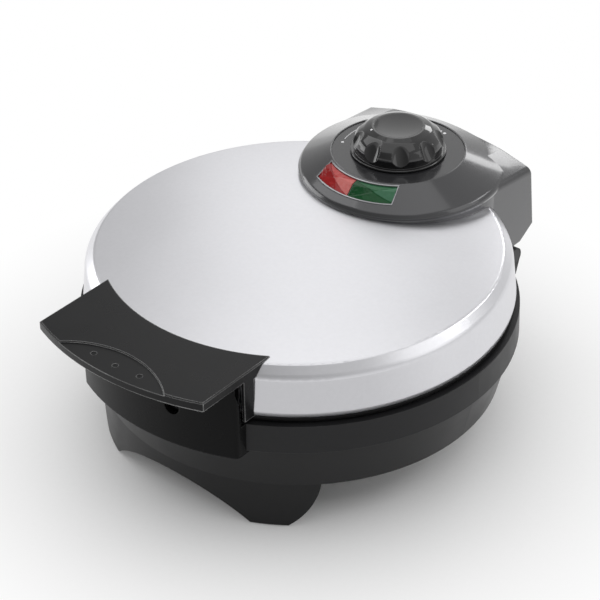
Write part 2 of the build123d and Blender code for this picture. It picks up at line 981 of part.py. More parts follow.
def base_leads():
    """Two leads from the lower heater's pins to the terminal block."""
    low = element_z - element_leg - element_pin_length - seat
    angle = math.radians(element_gap_angle / 2)
    x = element_ring * math.sin(angle)
    y = element_ring * math.cos(angle)
    face = block_y - block_depth / 2 - wire_radius
    target = skirt_bottom + shell + block_height / 2
    end_x = block_half_width - block_post_pitch / 2
    right = wire([(x, y, low), (x, y, target - seat), (end_x, face, target - seat)], wire_radius,
                 [wire_radius * 1.6])
    return group([right, mirrored_x(right)])


def lid_cover():
    """The spun steel pan of the lid, with holes for screws, shaft and wires."""
    body = lid_envelope() - lid_envelope(-steel)
    body = body - disc(far / 2, 0, steel_bottom)
    body = body - disc(bush_radius + seat, 0, far, 0, dial_y)
    for x, y in housing_boss_places():
        body = body - disc(screw_radius + touch, steel_bottom, far, x, y)
    for x in (-lamp_wire_spread, lamp_wire_spread):
        body = body - disc(lamp_wire_radius + seat, steel_bottom, far, x, lamp_wire_y)
    for angle in (-handle_screw_azimuth, handle_screw_azimuth):
        hole = bar_y(screw_radius + touch, -far / 2, 0, 0, handle_screw_height)
        body = body - at_azimuth(angle, hole)
    for x, z in arm_screw_places():
        body = body - bar_y(screw_radius + touch, 0, far / 2, x, z)
    return body


def lid_ring():
    """The plastic ring under the steel: plate ledge, upright wall, screw bosses, tabs."""
    ledge = 2 * parting - ledge_z
    wall_top = steel_bottom + ring_wall_height
    outer = steel_radius - ring_inset
    ring = turned([
        (outer, ring_bottom),
        (outer, steel_bottom),
        (outer - steel - seat * 2, steel_bottom),
        (outer - steel - ring_wall * 2, steel_bottom + ring_wall),
        (ledge_radius, steel_bottom + ring_wall),
        (ledge_radius, ledge),
        (ring_seat_radius, ledge),
        (ring_seat_radius, ring_bottom),
    ])
    inside = lid_envelope(-steel - seat)
    wall = tube(steel_radius, steel_radius - steel - ring_wall * 2, steel_bottom, wall_top)
    boss_x = arm_middle_x()
    boss = block(boss_x - screw_head_radius, boss_x + screw_head_radius, arm_boss_start(),
                 steel_radius, steel_bottom + ring_wall / 2, wall_top)
    boss = boss & inside
    body = ring + (wall & inside) + boss + mirrored_x(boss)
    tab_low = 2 * parting - reflector_z
    for angle in four_azimuths(plate_post_azimuth):
        tab = block(-tab_width / 2, tab_width / 2, -steel_radius, -plate_post_reach + plate_post_radius,
                    tab_low, tab_low + tab_thickness)
        riser = block(-tab_width / 2, tab_width / 2, -steel_radius, -rim_radius,
                      steel_bottom, tab_low + tab_thickness)
        piece = at_azimuth(angle, tab + riser) & inside
        hole = disc(screw_radius + touch, tab_low - past, far, 0, -plate_post_reach)
        body = body + piece - at_azimuth(angle, hole)
    for angle in (-handle_screw_azimuth, handle_screw_azimuth):
        boss = bar_y(screw_head_radius, -steel_radius, -rim_radius, 0, handle_screw_height)
        hole = bar_y(screw_radius + touch, -far / 2, -rim_radius - ring_wall / 2, 0, handle_screw_height)
        boss = boss - disc(ledge_radius, 0, far)
        body = body + (at_azimuth(angle, boss) & inside) - at_azimuth(angle, hole)
    for x, z in arm_screw_places():
        body = body - bar_y(screw_radius + touch, arm_boss_start() + ring_wall / 2, far / 2, x, z)
    return body


def arm_boss_start():
    """Where the hinge arms' screw bosses start, just outside the upper plate."""
    edge_x = arm_middle_x() - screw_head_radius
    return math.sqrt(ledge_radius ** 2 - edge_x ** 2)


def arm_middle_x():
    """The middle of the right hinge arm along X."""
    return lug_outer - lug_width - arm_gap - arm_width / 2


def arm_screw_places():
    """The x and z of the four screws that hold the hinge arms."""
    middle = arm_middle_x()
    low = steel_bottom + screw_head_radius + ring_wall
    high = low + screw_head_radius * 2.4
    return ((middle, low), (middle, high), (-middle, low), (-middle, high))


def hinge_arm():
    """The right hinge arm of the lid: an eye, an upright and a pad on the steel side."""
    outer = lug_outer - lug_width - arm_gap
    inner = outer - arm_width
    eye = bar_x(arm_radius, inner, outer, pivot_y, pivot_z)
    upright = block(inner, outer, arm_front, arm_rear, pivot_z, arm_top)
    pad = block(inner, outer, steel_radius * 0.8, arm_front + past, steel_bottom + seat, arm_top)
    body = eye + upright + (pad - lid_envelope(touch))
    body = body - bar_x(pin_radius + pin_fit, 0, far, pivot_y, pivot_z)
    for x, z in arm_screw_places():
        body = body - bar_y(screw_radius + touch, 0, far / 2, x, z)
    return body


def hinge_arm_screws():
    """Four screws from behind, through the arms and the steel into the lid ring."""
    screws = []
    for x, z in arm_screw_places():
        start = arm_boss_start() + ring_wall / 2 + seat
        shank = bar_y(screw_radius, start, arm_rear, x, z)
        head = bar_y(screw_head_radius, arm_rear, arm_rear + screw_head_height, x, z)
        screws.append(shank + head)
    return group(screws)


def handle_back_outer():
    """The outer radius of the screw pads on the lid handle's back wall, heads included."""
    return steel_radius + touch + handle_back_wall + screw_head_height + seat


def lid_handle():
    """The black grip: a plate with a thumb recess, side cheeks and a back wall."""
    plate = handle_plan(handle_reach, handle_half_width, handle_bottom, handle_top)
    top_edges = plate.faces().sort_by(Axis.Z)[-1].edges()
    plate = chamfer(top_edges, handle_edge_round * 0.6)
    lip = handle_plan(handle_reach - handle_lip, handle_half_width - handle_lip,
                      handle_bottom - handle_lip, handle_bottom)
    lip = lip - handle_plan(handle_reach - handle_lip * 2, handle_half_width - handle_lip * 2,
                            handle_bottom - handle_lip, handle_bottom)
    lip = lip - disc(front_radius + front_wall, 0, far)
    cheek = block(handle_half_width - bracket_wall, handle_half_width, -bracket_front, -base_radius * 0.8,
                  steel_bottom, handle_bottom)
    back = handle_plan(steel_radius + touch + handle_back_wall, handle_back_half_width,
                       steel_bottom, handle_bottom)
    body = plate + lip + cheek + mirrored_x(cheek) + back
    for angle in (-handle_screw_azimuth, handle_screw_azimuth):
        pad = bar_y(screw_head_radius + boss_wall, -handle_pad_face(), -base_radius * 0.8, 0, handle_screw_height)
        body = body + at_azimuth(angle, pad & disc(far, steel_bottom, far))
    body = body - disc(handle_inner_radius, 0, far)
    body = body - lid_envelope(touch) - disc(steel_radius - ring_inset, 0, shoulder_z)
    for angle in (-handle_screw_azimuth, handle_screw_azimuth):
        hole = bar_y(screw_radius + touch, -far / 2, 0, 0, handle_screw_height)
        body = body - at_azimuth(angle, hole)
    sagitta = math.sqrt(handle_reach ** 2 - thumb_half_width ** 2) - thumb_apex
    thumb = (thumb_half_width ** 2 + sagitta ** 2) / (2 * sagitta)
    body = body - disc(thumb, handle_top - thumb_depth, far, 0, -thumb_apex - thumb)
    for index in (-1, 0, 1):
        x = index * dimple_spread
        y = -math.sqrt(dimple_reach ** 2 - x ** 2)
        ball = (dimple_radius ** 2 + dimple_depth ** 2) / (2 * dimple_depth)
        lift = ball - dimple_depth
        body = body - Pos(x, y, handle_top - thumb_depth + lift) * Sphere(ball)
    return body


def handle_pad_face():
    """Distance from the axis of the face that the lid handle's screw heads sit on."""
    return steel_radius + touch + handle_back_wall + seat


def lid_handle_screws():
    """Two screws through the handle's back wall and the steel into the lid ring."""
    screws = []
    for angle in (-handle_screw_azimuth, handle_screw_azimuth):
        face = -handle_pad_face()
        tip = -rim_radius - ring_wall / 2 - seat
        shank = bar_y(screw_radius, face, tip, 0, handle_screw_height)
        head = bar_y(screw_head_radius, face - screw_head_height, face, 0, handle_screw_height)
        screws.append(at_azimuth(angle, shank + head))
    return group(screws)


def upper_plate_screws():
    """Four screws through the lid ring's tabs into the upper plate's posts."""
    face = 2 * parting - reflector_z + tab_thickness
    length = face - (2 * parting - plate_back) - seat
    screws = []
    for angle in four_azimuths(plate_post_azimuth):
        screws.append(at_azimuth(angle, screw_down(0, -plate_post_reach, face, length)))
    return group(screws)


def upper_grid_plate():
    """The lid's cast plate, with two extra posts for the thermostat bracket."""
    body = to_lid(grid_plate())
    back = 2 * parting - plate_back
    for x in bracket_foot_places():
        body = body + disc(clamp_post_radius, back, back + bracket_boss_height, x, dial_y)
        body = body - disc(small_screw_radius + touch, back, far, x, dial_y)
    return body


def bracket_foot_places():
    """Where the thermostat bracket's feet are screwed down, along X."""
    place = bracket_half_width + bracket_foot / 2
    return (-place, place)


def upper_reflector():
    """The lid's reflector, cut away round the thermostat."""
    body = to_lid(heat_reflector())
    reach = bracket_half_width + bracket_foot + 2
    return body - block(-reach, reach, lamp_wire_y - lamp_wire_room, far / 2, 0, far)


def thermostat_bracket():
    """A bent steel bridge over the upper plate, from which the thermostat hangs."""
    half = thermostat_depth / 2
    top = thermostat_top
    foot = 2 * parting - plate_back + bracket_boss_height
    bridge = block(-bracket_half_width, bracket_half_width, dial_y - half, dial_y + half,
                   top, top + bracket_plate)
    leg = block(bracket_half_width - bracket_plate, bracket_half_width, dial_y - half, dial_y + half,
                foot, top)
    toe = block(bracket_half_width - bracket_plate, bracket_half_width + bracket_foot,
                dial_y - half, dial_y + half, foot, foot + bracket_plate)
    body = bridge + leg + mirrored_x(leg) + toe + mirrored_x(toe)
    body = body - disc(bush_radius + touch, top - past, far, 0, dial_y)
    for x in bracket_foot_places():
        body = body - disc(small_screw_radius + touch, 0, far, x, dial_y)
    return body


def bracket_screws():
    """Two small screws through the bracket's feet."""
    face = 2 * parting - plate_back + bracket_boss_height + bracket_plate
    length = bracket_boss_height + bracket_plate - seat
    screws = []
    for x in bracket_foot_places():
        screws.append(screw_down(x, dial_y, face, length,
                                 small_screw_radius, small_head_radius, small_head_height))
    return group(screws)


def thermostat():
    """The switch stack with its sensing foot and threaded bush."""
    back = 2 * parting - plate_back
    half_x = thermostat_width / 2
    half_y = thermostat_depth / 2
    stack = block(-half_x, half_x, dial_y - half_y, dial_y + half_y, back + sensor_height, thermostat_top)
    sensor = disc(sensor_radius, back, back + sensor_height, 0, dial_y)
    bush = disc(bush_radius, thermostat_top, bush_end(), 0, dial_y)
    bore = disc(shaft_radius + pin_fit, thermostat_top, far, 0, dial_y)
    return stack + sensor + bush - bore


def bush_end():
    """The top of the thermostat's threaded bush, just above the steel."""
    return dome_z(dial_y) + seat * 6


def thermostat_nut():
    """The hexagon nut that holds the thermostat under its bracket."""
    low = thermostat_top + bracket_plate
    nut = Pos(0, dial_y, low) * extrude(RegularPolygon(nut_radius, 6), nut_height)
    return nut - disc(bush_radius + touch, 0, far, 0, dial_y)


def thermostat_shaft():
    """The steel spindle between the thermostat and the knob, with a flat."""
    low = thermostat_top + seat
    body = disc(shaft_radius, low, knob_socket_top() - seat, 0, dial_y)
    flat = block(-far, far, dial_y + shaft_flat, far, knob_bottom, far)
    return body - flat


def thermostat_leads():
    """Two short leads between the upper heater's pins and the thermostat."""
    angle = math.radians(element_gap_angle / 2)
    x = element_ring * math.sin(angle)
    y = element_ring * math.cos(angle)
    pin_top = 2 * parting - (element_z - element_leg - element_pin_length)
    start = Vector(x, y, pin_top + wire_radius * 1.3)
    end = Vector(thermostat_width / 2 - wire_radius, dial_y - thermostat_depth / 2 - wire_radius,
                 thermostat_top - wire_radius)
    axis = Plane(origin=start, z_dir=end - start)
    right = extrude(axis * Circle(wire_radius), (end - start).length)
    return group([right, mirrored_x(right)])


def housing_boss_places():
    """The x and y of the four screws that hold the control housing."""
    places = []
    for x in (-housing_boss_x, housing_boss_x):
        for y in (dial_y - housing_boss_front, dial_y + housing_boss_rear):
            places.append((x, y))
    return places


def cone_z(radius):
    """Height of the housing's sloping top, in front of the dial, at a distance from its middle."""
    lip_reach = lip_radius - lip_set_back - (lip_y - dial_y)
    slope = lip_drop / (lip_reach - dial_radius - dial_rim)
    return dial_height - (radius - dial_radius - dial_rim) * slope


def housing_head(inset):
    """The round front of the control housing: a slanting cone, a rolled lip and the wall below."""
    low = tip_z - far / 40
    top = dial_height - inset
    lip_z = top - lip_drop
    under_z = lip_z - lip_height - lip_set_back
    sections = [
        Pos(0, dial_y, top) * Circle(dial_radius + dial_rim),
        Pos(0, lip_y, lip_z) * Circle(lip_radius - lip_set_back - inset),
        Pos(0, lip_y, lip_z - lip_height) * Circle(lip_radius - inset),
        Pos(0, lip_y, under_z) * Circle(housing_radius - housing_draft - inset),
        Pos(0, lip_y, low) * Circle(housing_radius - inset),
    ]
    head = loft(sections, ruled=True)
    if inset > 0:
        return head
    rolled = [edge for edge in head.edges().filter_by(GeomType.CIRCLE) if under_z + past < edge.center().Z < lip_z + past]
    return fillet(rolled, lip_round)


def roof_section(drops, narrowing, inset):
    """The housing's cross section behind the dial: crowned top, sloping shoulders, upright sides."""
    crown, shoulder, edge = [dial_height - inset - drop for drop in drops]
    low = tip_z - far / 40
    foot = housing_radius - inset
    width = foot - housing_draft - narrowing
    half = roof_half_width
    top = ThreePointArc((-half, shoulder), (0, crown), (half, shoulder))
    rest = Polyline((half, shoulder), (width, edge), (foot, low), (-foot, low), (-width, edge), (-half, shoulder))
    face = make_face(top + rest)
    corners = face.vertices().sort_by(Axis.Y)[2:4]
    return fillet(corners, housing_side_round - inset)


def housing_form(inset):
    """The control housing's outer form, or the same moved inwards by inset."""
    tail = loft(
        [
            Plane.XZ.offset(-lip_y) * roof_section(roof_front_drops, roof_front_narrowing, inset),
            Plane.XZ.offset(-rear_bottom_y - past) * roof_section(roof_rear_drops, 0, inset),
        ],
        ruled=True,
    )
    top = dial_height + room_above
    rise = top - rear_bottom_z
    profile_line = Polyline(
        (0, tip_z + lobe_rise),
        (tip_y, tip_z),
        (rear_bottom_y - inset, rear_bottom_z),
        (rear_bottom_y - inset - rise * math.tan(math.radians(rear_lean)), top),
        (0, top),
        close=True,
    )
    profile = make_face(profile_line)
    slab = extrude(Plane.YZ * profile, far / 4, both=True)
    return (housing_head(inset) + tail) & slab


def lid_block():
    """The space of the lid and the base below the housing, which it hugs."""
    lower = disc(steel_radius + seat, 0, steel_bottom + steel_curl)
    band = disc(base_radius + band_flare + swing_gap, 0, ring_bottom)
    return lid_envelope(touch) + lower + band


def control_housing():
    """The glossy moulding over the lid's rear, open underneath."""
    inner = housing_radius - housing_wall - housing_draft
    opened = housing_form(housing_wall) + sloped_opening()
    opened = opened + block(-inner, inner, 0, tip_y + past, 0, rear_bottom_z + past)
    body = housing_form(0) - opened
    for x, y in housing_boss_places():
        boss = disc(housing_boss_radius, steel_bottom, dial_height, x, y)
        body = body + (boss & housing_form(touch))
    body = body - lid_block()
    for x, y in housing_boss_places():
        depth = housing_screw_tip(x, y)
        body = body - disc(screw_radius + touch, 0, depth + seat, x, y)
    recess = disc(dial_radius, dial_floor - dial_thickness, far, 0, dial_y)
    body = body - recess
    body = body + disc(dial_radius, dial_floor - dial_thickness - housing_wall,
                       dial_floor - dial_thickness, 0, dial_y)
    body = body - disc(bush_radius, 0, far, 0, dial_y)
    body = body - lens_sector(bezel_width, 0, dial_height + room_above)
    return body


def sloped_opening():
    """The space of the rear cover, between the housing's side walls."""
    inner = housing_radius - housing_wall - housing_draft
    slab = side_slab(
        [
            (tip_y - opening_reach, tip_z - opening_reach),
            (rear_bottom_y + opening_reach, rear_bottom_z - opening_reach),
            (rear_bottom_y - housing_wall - touch, rear_bottom_z + past),
            (tip_y - opening_reach, rear_bottom_z + past),
        ],
        inner,
    )
    return slab & block(-inner, inner, 0, rear_bottom_y - housing_wall, 0, far)


def rear_cover():
    """The sloping lid that closes the control housing's underside at the rear."""
    inner = housing_radius - housing_wall - housing_draft - touch
    end = rear_bottom_y - housing_wall - touch
    slope = (rear_bottom_z - tip_z) / (rear_bottom_y - tip_y)
    low_y = arm_rear + swing_gap * 4
    low_z = tip_z + slope * (low_y - tip_y)
    end_z = tip_z + slope * (end - tip_y)
    cover = side_slab(
        [
            (low_y, low_z),
            (end, end_z),
            (end, end_z + housing_wall),
            (low_y, low_z + housing_wall),
        ],
        inner,
    )
    return cover


def housing_screw_tip(x, y):
    """The height of a housing screw's tip."""
    return dome_z(math.hypot(x, y)) + screw_radius * 2


def housing_screws():
    """Four screws from inside the lid up into the housing's bosses."""
    screws = []
    for x, y in housing_boss_places():
        reach = math.hypot(x, y)
        face = dome_z(reach + screw_head_radius) - steel - touch * 2
        length = housing_screw_tip(x, y) - face
        screws.append(screw_up(x, y, face, length))
    return group(screws)


def lens_sector(growth, low, high):
    """The lenses' outline from above, grown by a distance, as a solid between two heights."""
    ring = tube(lens_outer + growth, lens_inner - growth, low, high)
    lean = math.tan(math.radians(lens_end_lean))
    corner_y = math.sqrt(lens_inner ** 2 - lens_half_width ** 2)
    reach = lens_outer * 2
    near = lens_half_width + growth - corner_y * lean
    deep = lens_half_width + growth + (reach - corner_y) * lean
    wedge = Polyline((-near, 0), (near, 0), (deep, -reach), (-deep, -reach), close=True)
    cut = extrude(make_face(wedge), far)
    return Pos(0, dial_y, 0) * at_azimuth(lens_turn, ring & cut)


def lens_roof():
    """What lies under the lenses' faceted top."""
    low = cone_z(lens_outer) - lens_depth
    body = turned([
        (lens_inner - lens_side_room, low),
        (lens_inner - lens_side_room, cone_z(lens_inner) - lens_stand),
        (lens_inner, cone_z(lens_inner) - lens_stand),
        (lens_ridge, cone_z(lens_ridge) + lens_stand * 2),
        (lens_outer, cone_z(lens_outer) - lens_stand),
        (lens_outer + lens_side_room, cone_z(lens_outer) - lens_stand),
        (lens_outer + lens_side_room, low),
    ])
    return Pos(0, dial_y, 0) * body


def lens(side):
    """One indicator lens, with side -1 for the left one and 1 for the right one."""
    body = lens_sector(0, 0, dial_height + room_above) & lens_roof()
    reach = lens_outer * 2
    near = side * lens_gap / 2
    half = block(min(near, side * reach), max(near, side * reach), -reach, 0, 0, far)
    return body & (Pos(0, dial_y, 0) * at_azimuth(lens_turn, half))


def lens_bezel():
    """The silver frame of the lens pocket."""
    low = cone_z(lens_outer) - lens_depth
    frame = lens_sector(bezel_width - touch, low, dial_height + room_above)
    frame = frame - lens_sector(touch, 0, dial_height + room_above + past)
    return frame & (Pos(0, 0, touch * 3) * housing_head(0))


def lamp_holder():
    """The cradle that carries the lamps on top of the steel, under the lenses."""
    low = holder_floor()
    x = lamp_spread + lamp_length / 2 + holder_wall
    y = lamp_y()
    half = lamp_radius + holder_wall
    body = block(-x, x, y - half, y + half, low, low + holder_thickness + lamp_radius)
    for sign in (-1, 1):
        middle = sign * lamp_spread
        half_length = lamp_length / 2 + touch
        body = body - bar_x(lamp_radius + touch, middle - half_length, middle + half_length, y, lamp_z())
    return body


def lamp_y():
    """The lamps' place along Y, under the middle of the lenses."""
    return dial_y - (lens_inner + lens_outer) / 2


def holder_floor():
    """The underside of the lamp holder, just above the steel."""
    return dome_z(lamp_y() - lamp_radius - holder_wall) + touch * 4


def lamp_z():
    """The height of the lamps' axis."""
    return holder_floor() + holder_thickness + lamp_radius + touch


def indicator_lamps():
    """Two small lamps that lie on their holder."""
    lamps = []
    for sign in (-1, 1):
        x = sign * lamp_spread
        glass = bar_x(lamp_radius, x - lamp_length / 2, x + lamp_length / 2, lamp_y(), lamp_z())
        lamps.append(glass)
    return group(lamps)


def lamp_leads():
    """Two thin leads from the lamp holder over the steel and down to the thermostat."""
    z = holder_floor() + holder_thickness + lamp_wire_radius + seat
    start_y = lamp_y() + lamp_radius + holder_wall
    drop = thermostat_top - wire_radius * 6
    end_y = dial_y - thermostat_depth / 2 - seat
    x = lamp_wire_spread
    right = wire([(x, start_y, z), (x, lamp_wire_y, z), (x, lamp_wire_y, drop), (x, end_y, drop)],
                 lamp_wire_radius, [lamp_wire_radius * 2.5, lamp_wire_radius * 2.5])
    return group([right, mirrored_x(right)])


def dial_plate():
    """The round scale plate in the housing's recess."""
    return tube(dial_radius - seat, bush_radius, dial_floor - dial_thickness, dial_floor, 0, dial_y)


def knob_socket_top():
    """The top of the socket that takes the spindle."""
    return knob_top - cap_thickness - knob_wall


def flute_cutter():
    """A lemon shaped cutter for one finger flute, leaning along the knob's side."""
    offset = flute_arc - flute_radius
    half = math.sqrt(flute_arc ** 2 - offset ** 2)
    arc = ThreePointArc((0, -half), (flute_radius, 0), (0, half))
    face = make_face(arc + Line((0, half), (0, -half)))
    lemon = revolve(Plane.XZ * face, Axis.Z)
    reach = knob_radius + flute_stand
    return Pos(0, -reach, knob_bottom + flute_rise) * Rot(-flute_lean, 0, 0) * lemon


def knob_grip():
    """The knob's fluted body, above its skirt."""
    low = knob_bottom + knob_skirt_height
    line = FilletPolyline(
        (knob_waist_radius, low),
        (knob_radius, low + knob_widest_height),
        (knob_shoulder_radius, knob_top - knob_shoulder_drop),
        (knob_brow_radius, knob_top - knob_brow_drop),
        (cap_radius + knob_wall / 2, knob_top),
        (0, knob_top),
        radius=[5.0, 6.0, 6.0, 1.2],
    )
    rest = Polyline((0, knob_top), (0, low), (knob_waist_radius, low))
    body = revolve(Plane.XZ * make_face(line + rest), Axis.Z)
    for index in range(flute_count):
        body = body - at_azimuth(index * 360 / flute_count, flute_cutter())
    return body


def knob():
    """The gloss black knob: skirt, fluted grip, hollow underside and socket hub."""
    skirt = disc(knob_skirt_radius, knob_bottom, knob_bottom + knob_skirt_height)
    rims = skirt.edges().filter_by(GeomType.CIRCLE)
    body = chamfer(rims, knob_skirt_height / 4) + knob_grip()
    hollow = tube(knob_hollow_radius, hub_radius, knob_bottom - past, knob_socket_top() - knob_wall)
    body = body - hollow
    socket = disc(shaft_radius + touch, knob_bottom - past, knob_socket_top())
    flat = block(-far, far, shaft_flat + touch, far, 0, far)
    body = body - (socket - flat)
    body = body - disc(cap_radius + touch, knob_top - cap_thickness, far)
    return Pos(0, dial_y, 0) * body


def knob_cap():
    """The dished cap on the knob."""
    low = knob_top - cap_thickness
    ball = (cap_radius ** 2 + cap_dish ** 2) / (2 * cap_dish)
    cap = disc(cap_radius, low, knob_top) - Pos(0, 0, knob_top - cap_dish + ball) * Sphere(ball)
    return Pos(0, dial_y, 0) * cap


def knob_clip():
    """The spring ring that tightens the hub on the spindle."""
    low = knob_bottom + knob_skirt_height
    ring = tube(hub_radius + clip_thickness, hub_radius + touch, low, low + clip_height)
    gap = block(-clip_gap / 2, clip_gap / 2, 0, hub_radius * 2, 0, far)
    return Pos(0, dial_y, 0) * (ring - gap)


def build_nodes():
    """Every node's name and shape."""
    arm = hinge_arm()
    return {
        "base_housing": base_housing(),
        "base_ring": base_ring(),
        "bottom_cover": bottom_cover(),
        "bottom_cover_screws": bottom_cover_screws(),
        "foot_pads": foot_pads(),
        "lower_handle": lower_handle(),
        "lower_handle_screws": lower_handle_screws(),
        "lower_grid_plate": grid_plate(),
        "lower_plate_screws": lower_plate_screws(),
        "lower_heating_element": heating_element(),
        "lower_element_insulators": element_insulators(),
        "lower_element_clamps": element_clamps(),
        "lower_clamp_screws": clamp_screws(),
        "lower_heat_reflector": heat_reflector(),
        "thermal_fuse": thermal_fuse(),
        "fuse_clip": fuse_clip(),
        "terminal_block": terminal_block(),
        "terminal_screws": terminal_screws(),
        "cord_gland": cord_gland(),
        "gland_nut": gland_nut(),
        "base_leads": base_leads(),
        "hinge_pins": hinge_pins(),
        "lid_cover": lid_cover(),
        "lid_ring": lid_ring(),
        "lid_handle": lid_handle(),
        "lid_handle_screws": lid_handle_screws(),
        "hinge_arm_right": arm,
        "hinge_arm_left": mirrored_x(arm),
        "hinge_arm_screws": hinge_arm_screws(),
        "upper_grid_plate": upper_grid_plate(),
        "upper_plate_screws": upper_plate_screws(),
        "upper_heating_element": to_lid(heating_element()),
        "upper_element_insulators": to_lid(element_insulators()),
        "upper_element_clamps": to_lid(element_clamps()),
        "upper_clamp_screws": to_lid(clamp_screws()),
        "upper_heat_reflector": upper_reflector(),
        "thermostat": thermostat(),
        "thermostat_bracket": thermostat_bracket(),
        "bracket_screws": bracket_screws(),
        "thermostat_nut": thermostat_nut(),
        "thermostat_leads": thermostat_leads(),
        "control_housing": control_housing(),
        "housing_screws": housing_screws(),
        "rear_cover": rear_cover(),
        "dial_plate": dial_plate(),
        "lens_bezel": lens_bezel(),
        "red_lens": lens(-1),
        "green_lens": lens(1),
        "lamp_holder": lamp_holder(),
        "indicator_lamps": indicator_lamps(),
        "lamp_leads": lamp_leads(),
        "thermostat_shaft": thermostat_shaft(),
        "knob": knob(),
        "knob_cap": knob_cap(),
        "knob_clip": knob_clip(),
    }


def main():
    """Write one STEP file for each node."""
    os.makedirs("parts", exist_ok=True)
    for name, shape in build_nodes().items():
        moved = [Pos(0, frame_shift, 0) * solid for solid in shape.solids()]
        export_step(Compound(moved), "parts/" + name + ".step")
        print(name, len(moved), round(sum(solid.volume for solid in moved), 1))


if __name__ == "__main__":
    main()
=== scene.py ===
"""Studio scene of a round belgian waffle maker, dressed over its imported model.

Lengths are in metres and angles in degrees, unless a line says otherwise.
"""

from __future__ import annotations

import json
import logging
import math
from collections import defaultdict
from collections.abc import Iterable, Sequence
from dataclasses import dataclass, field, replace
from enum import Enum

import bpy
import numpy as np
from mathutils import Matrix, Vector

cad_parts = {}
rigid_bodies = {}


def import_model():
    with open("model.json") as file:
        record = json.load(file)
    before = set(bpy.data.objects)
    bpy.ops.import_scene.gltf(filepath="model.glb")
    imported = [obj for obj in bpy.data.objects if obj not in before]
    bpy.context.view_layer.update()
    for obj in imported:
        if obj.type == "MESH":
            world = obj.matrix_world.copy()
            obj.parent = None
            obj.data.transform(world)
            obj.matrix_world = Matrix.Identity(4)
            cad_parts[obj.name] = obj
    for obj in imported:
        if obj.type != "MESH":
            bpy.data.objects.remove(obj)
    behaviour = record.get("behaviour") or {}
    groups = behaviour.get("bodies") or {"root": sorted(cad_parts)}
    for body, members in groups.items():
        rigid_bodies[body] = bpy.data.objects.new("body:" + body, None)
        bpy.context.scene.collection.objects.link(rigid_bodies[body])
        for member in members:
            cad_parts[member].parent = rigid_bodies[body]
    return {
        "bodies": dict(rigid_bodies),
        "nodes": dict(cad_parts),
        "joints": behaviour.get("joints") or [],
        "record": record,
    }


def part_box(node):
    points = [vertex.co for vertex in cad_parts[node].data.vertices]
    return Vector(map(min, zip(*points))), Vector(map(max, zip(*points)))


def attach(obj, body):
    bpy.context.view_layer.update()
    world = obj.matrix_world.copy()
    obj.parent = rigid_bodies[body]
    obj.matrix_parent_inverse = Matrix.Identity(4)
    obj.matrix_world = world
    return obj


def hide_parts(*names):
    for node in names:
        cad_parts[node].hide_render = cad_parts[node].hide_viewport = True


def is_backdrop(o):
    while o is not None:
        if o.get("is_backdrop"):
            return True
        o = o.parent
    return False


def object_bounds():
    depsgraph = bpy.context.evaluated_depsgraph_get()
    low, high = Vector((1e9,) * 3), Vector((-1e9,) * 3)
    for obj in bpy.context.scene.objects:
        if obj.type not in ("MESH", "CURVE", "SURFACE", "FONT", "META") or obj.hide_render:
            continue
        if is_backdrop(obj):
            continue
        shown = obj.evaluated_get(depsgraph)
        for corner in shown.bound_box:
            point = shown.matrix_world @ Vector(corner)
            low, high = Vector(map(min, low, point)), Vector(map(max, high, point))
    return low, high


LOG = logging.getLogger("waffle_maker")

Triple = tuple[float, float, float]
Colour = tuple[float, float, float]
Range = tuple[float, float]
Pair = tuple[float, float]
Socket = bpy.types.NodeSocket
Piece = bpy.types.Object
Value = Socket | float | Sequence[float]

MM = 0.001
EVEN: Triple = (1.0, 1.0, 1.0)
FULL: Range = (0.0, 1.0)
BOTH_SIDES: Range = (-1.0, 1.0)
QUARTER_TURN = 90.0
ACROSS = Vector((1.0, 0.0, 0.0))
ALONG = Vector((0.0, 1.0, 0.0))
UP = Vector((0.0, 0.0, 1.0))


class Body(Enum):
    """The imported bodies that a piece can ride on."""

    BASE = "base"
    LID = "lid"
    KNOB = "knob"


class Slot(Enum):
    """The names of the record's material slots."""

    SCREW = "screw_steel"
    MARK = "bezel_silver"


def direction(azimuth: float, elevation: float = 0.0) -> Vector:
    """The way from the object to a place round it.

    Args:
        azimuth: The angle from the front, towards the right.
        elevation: The angle above the floor.

    Returns:
        A vector of length 1.
    """
    turn, rise = math.radians(azimuth), math.radians(elevation)
    flat = math.cos(rise)
    return Vector((math.sin(turn) * flat, -math.cos(turn) * flat, math.sin(rise)))


def grey(value: float) -> Colour:
    """A colour without hue."""
    return (value, value, value)


def ring_angles(count: int) -> list[float]:
    """The angles of evenly spaced points round a circle, in radians."""
    return [2 * math.pi * index / count for index in range(count)]


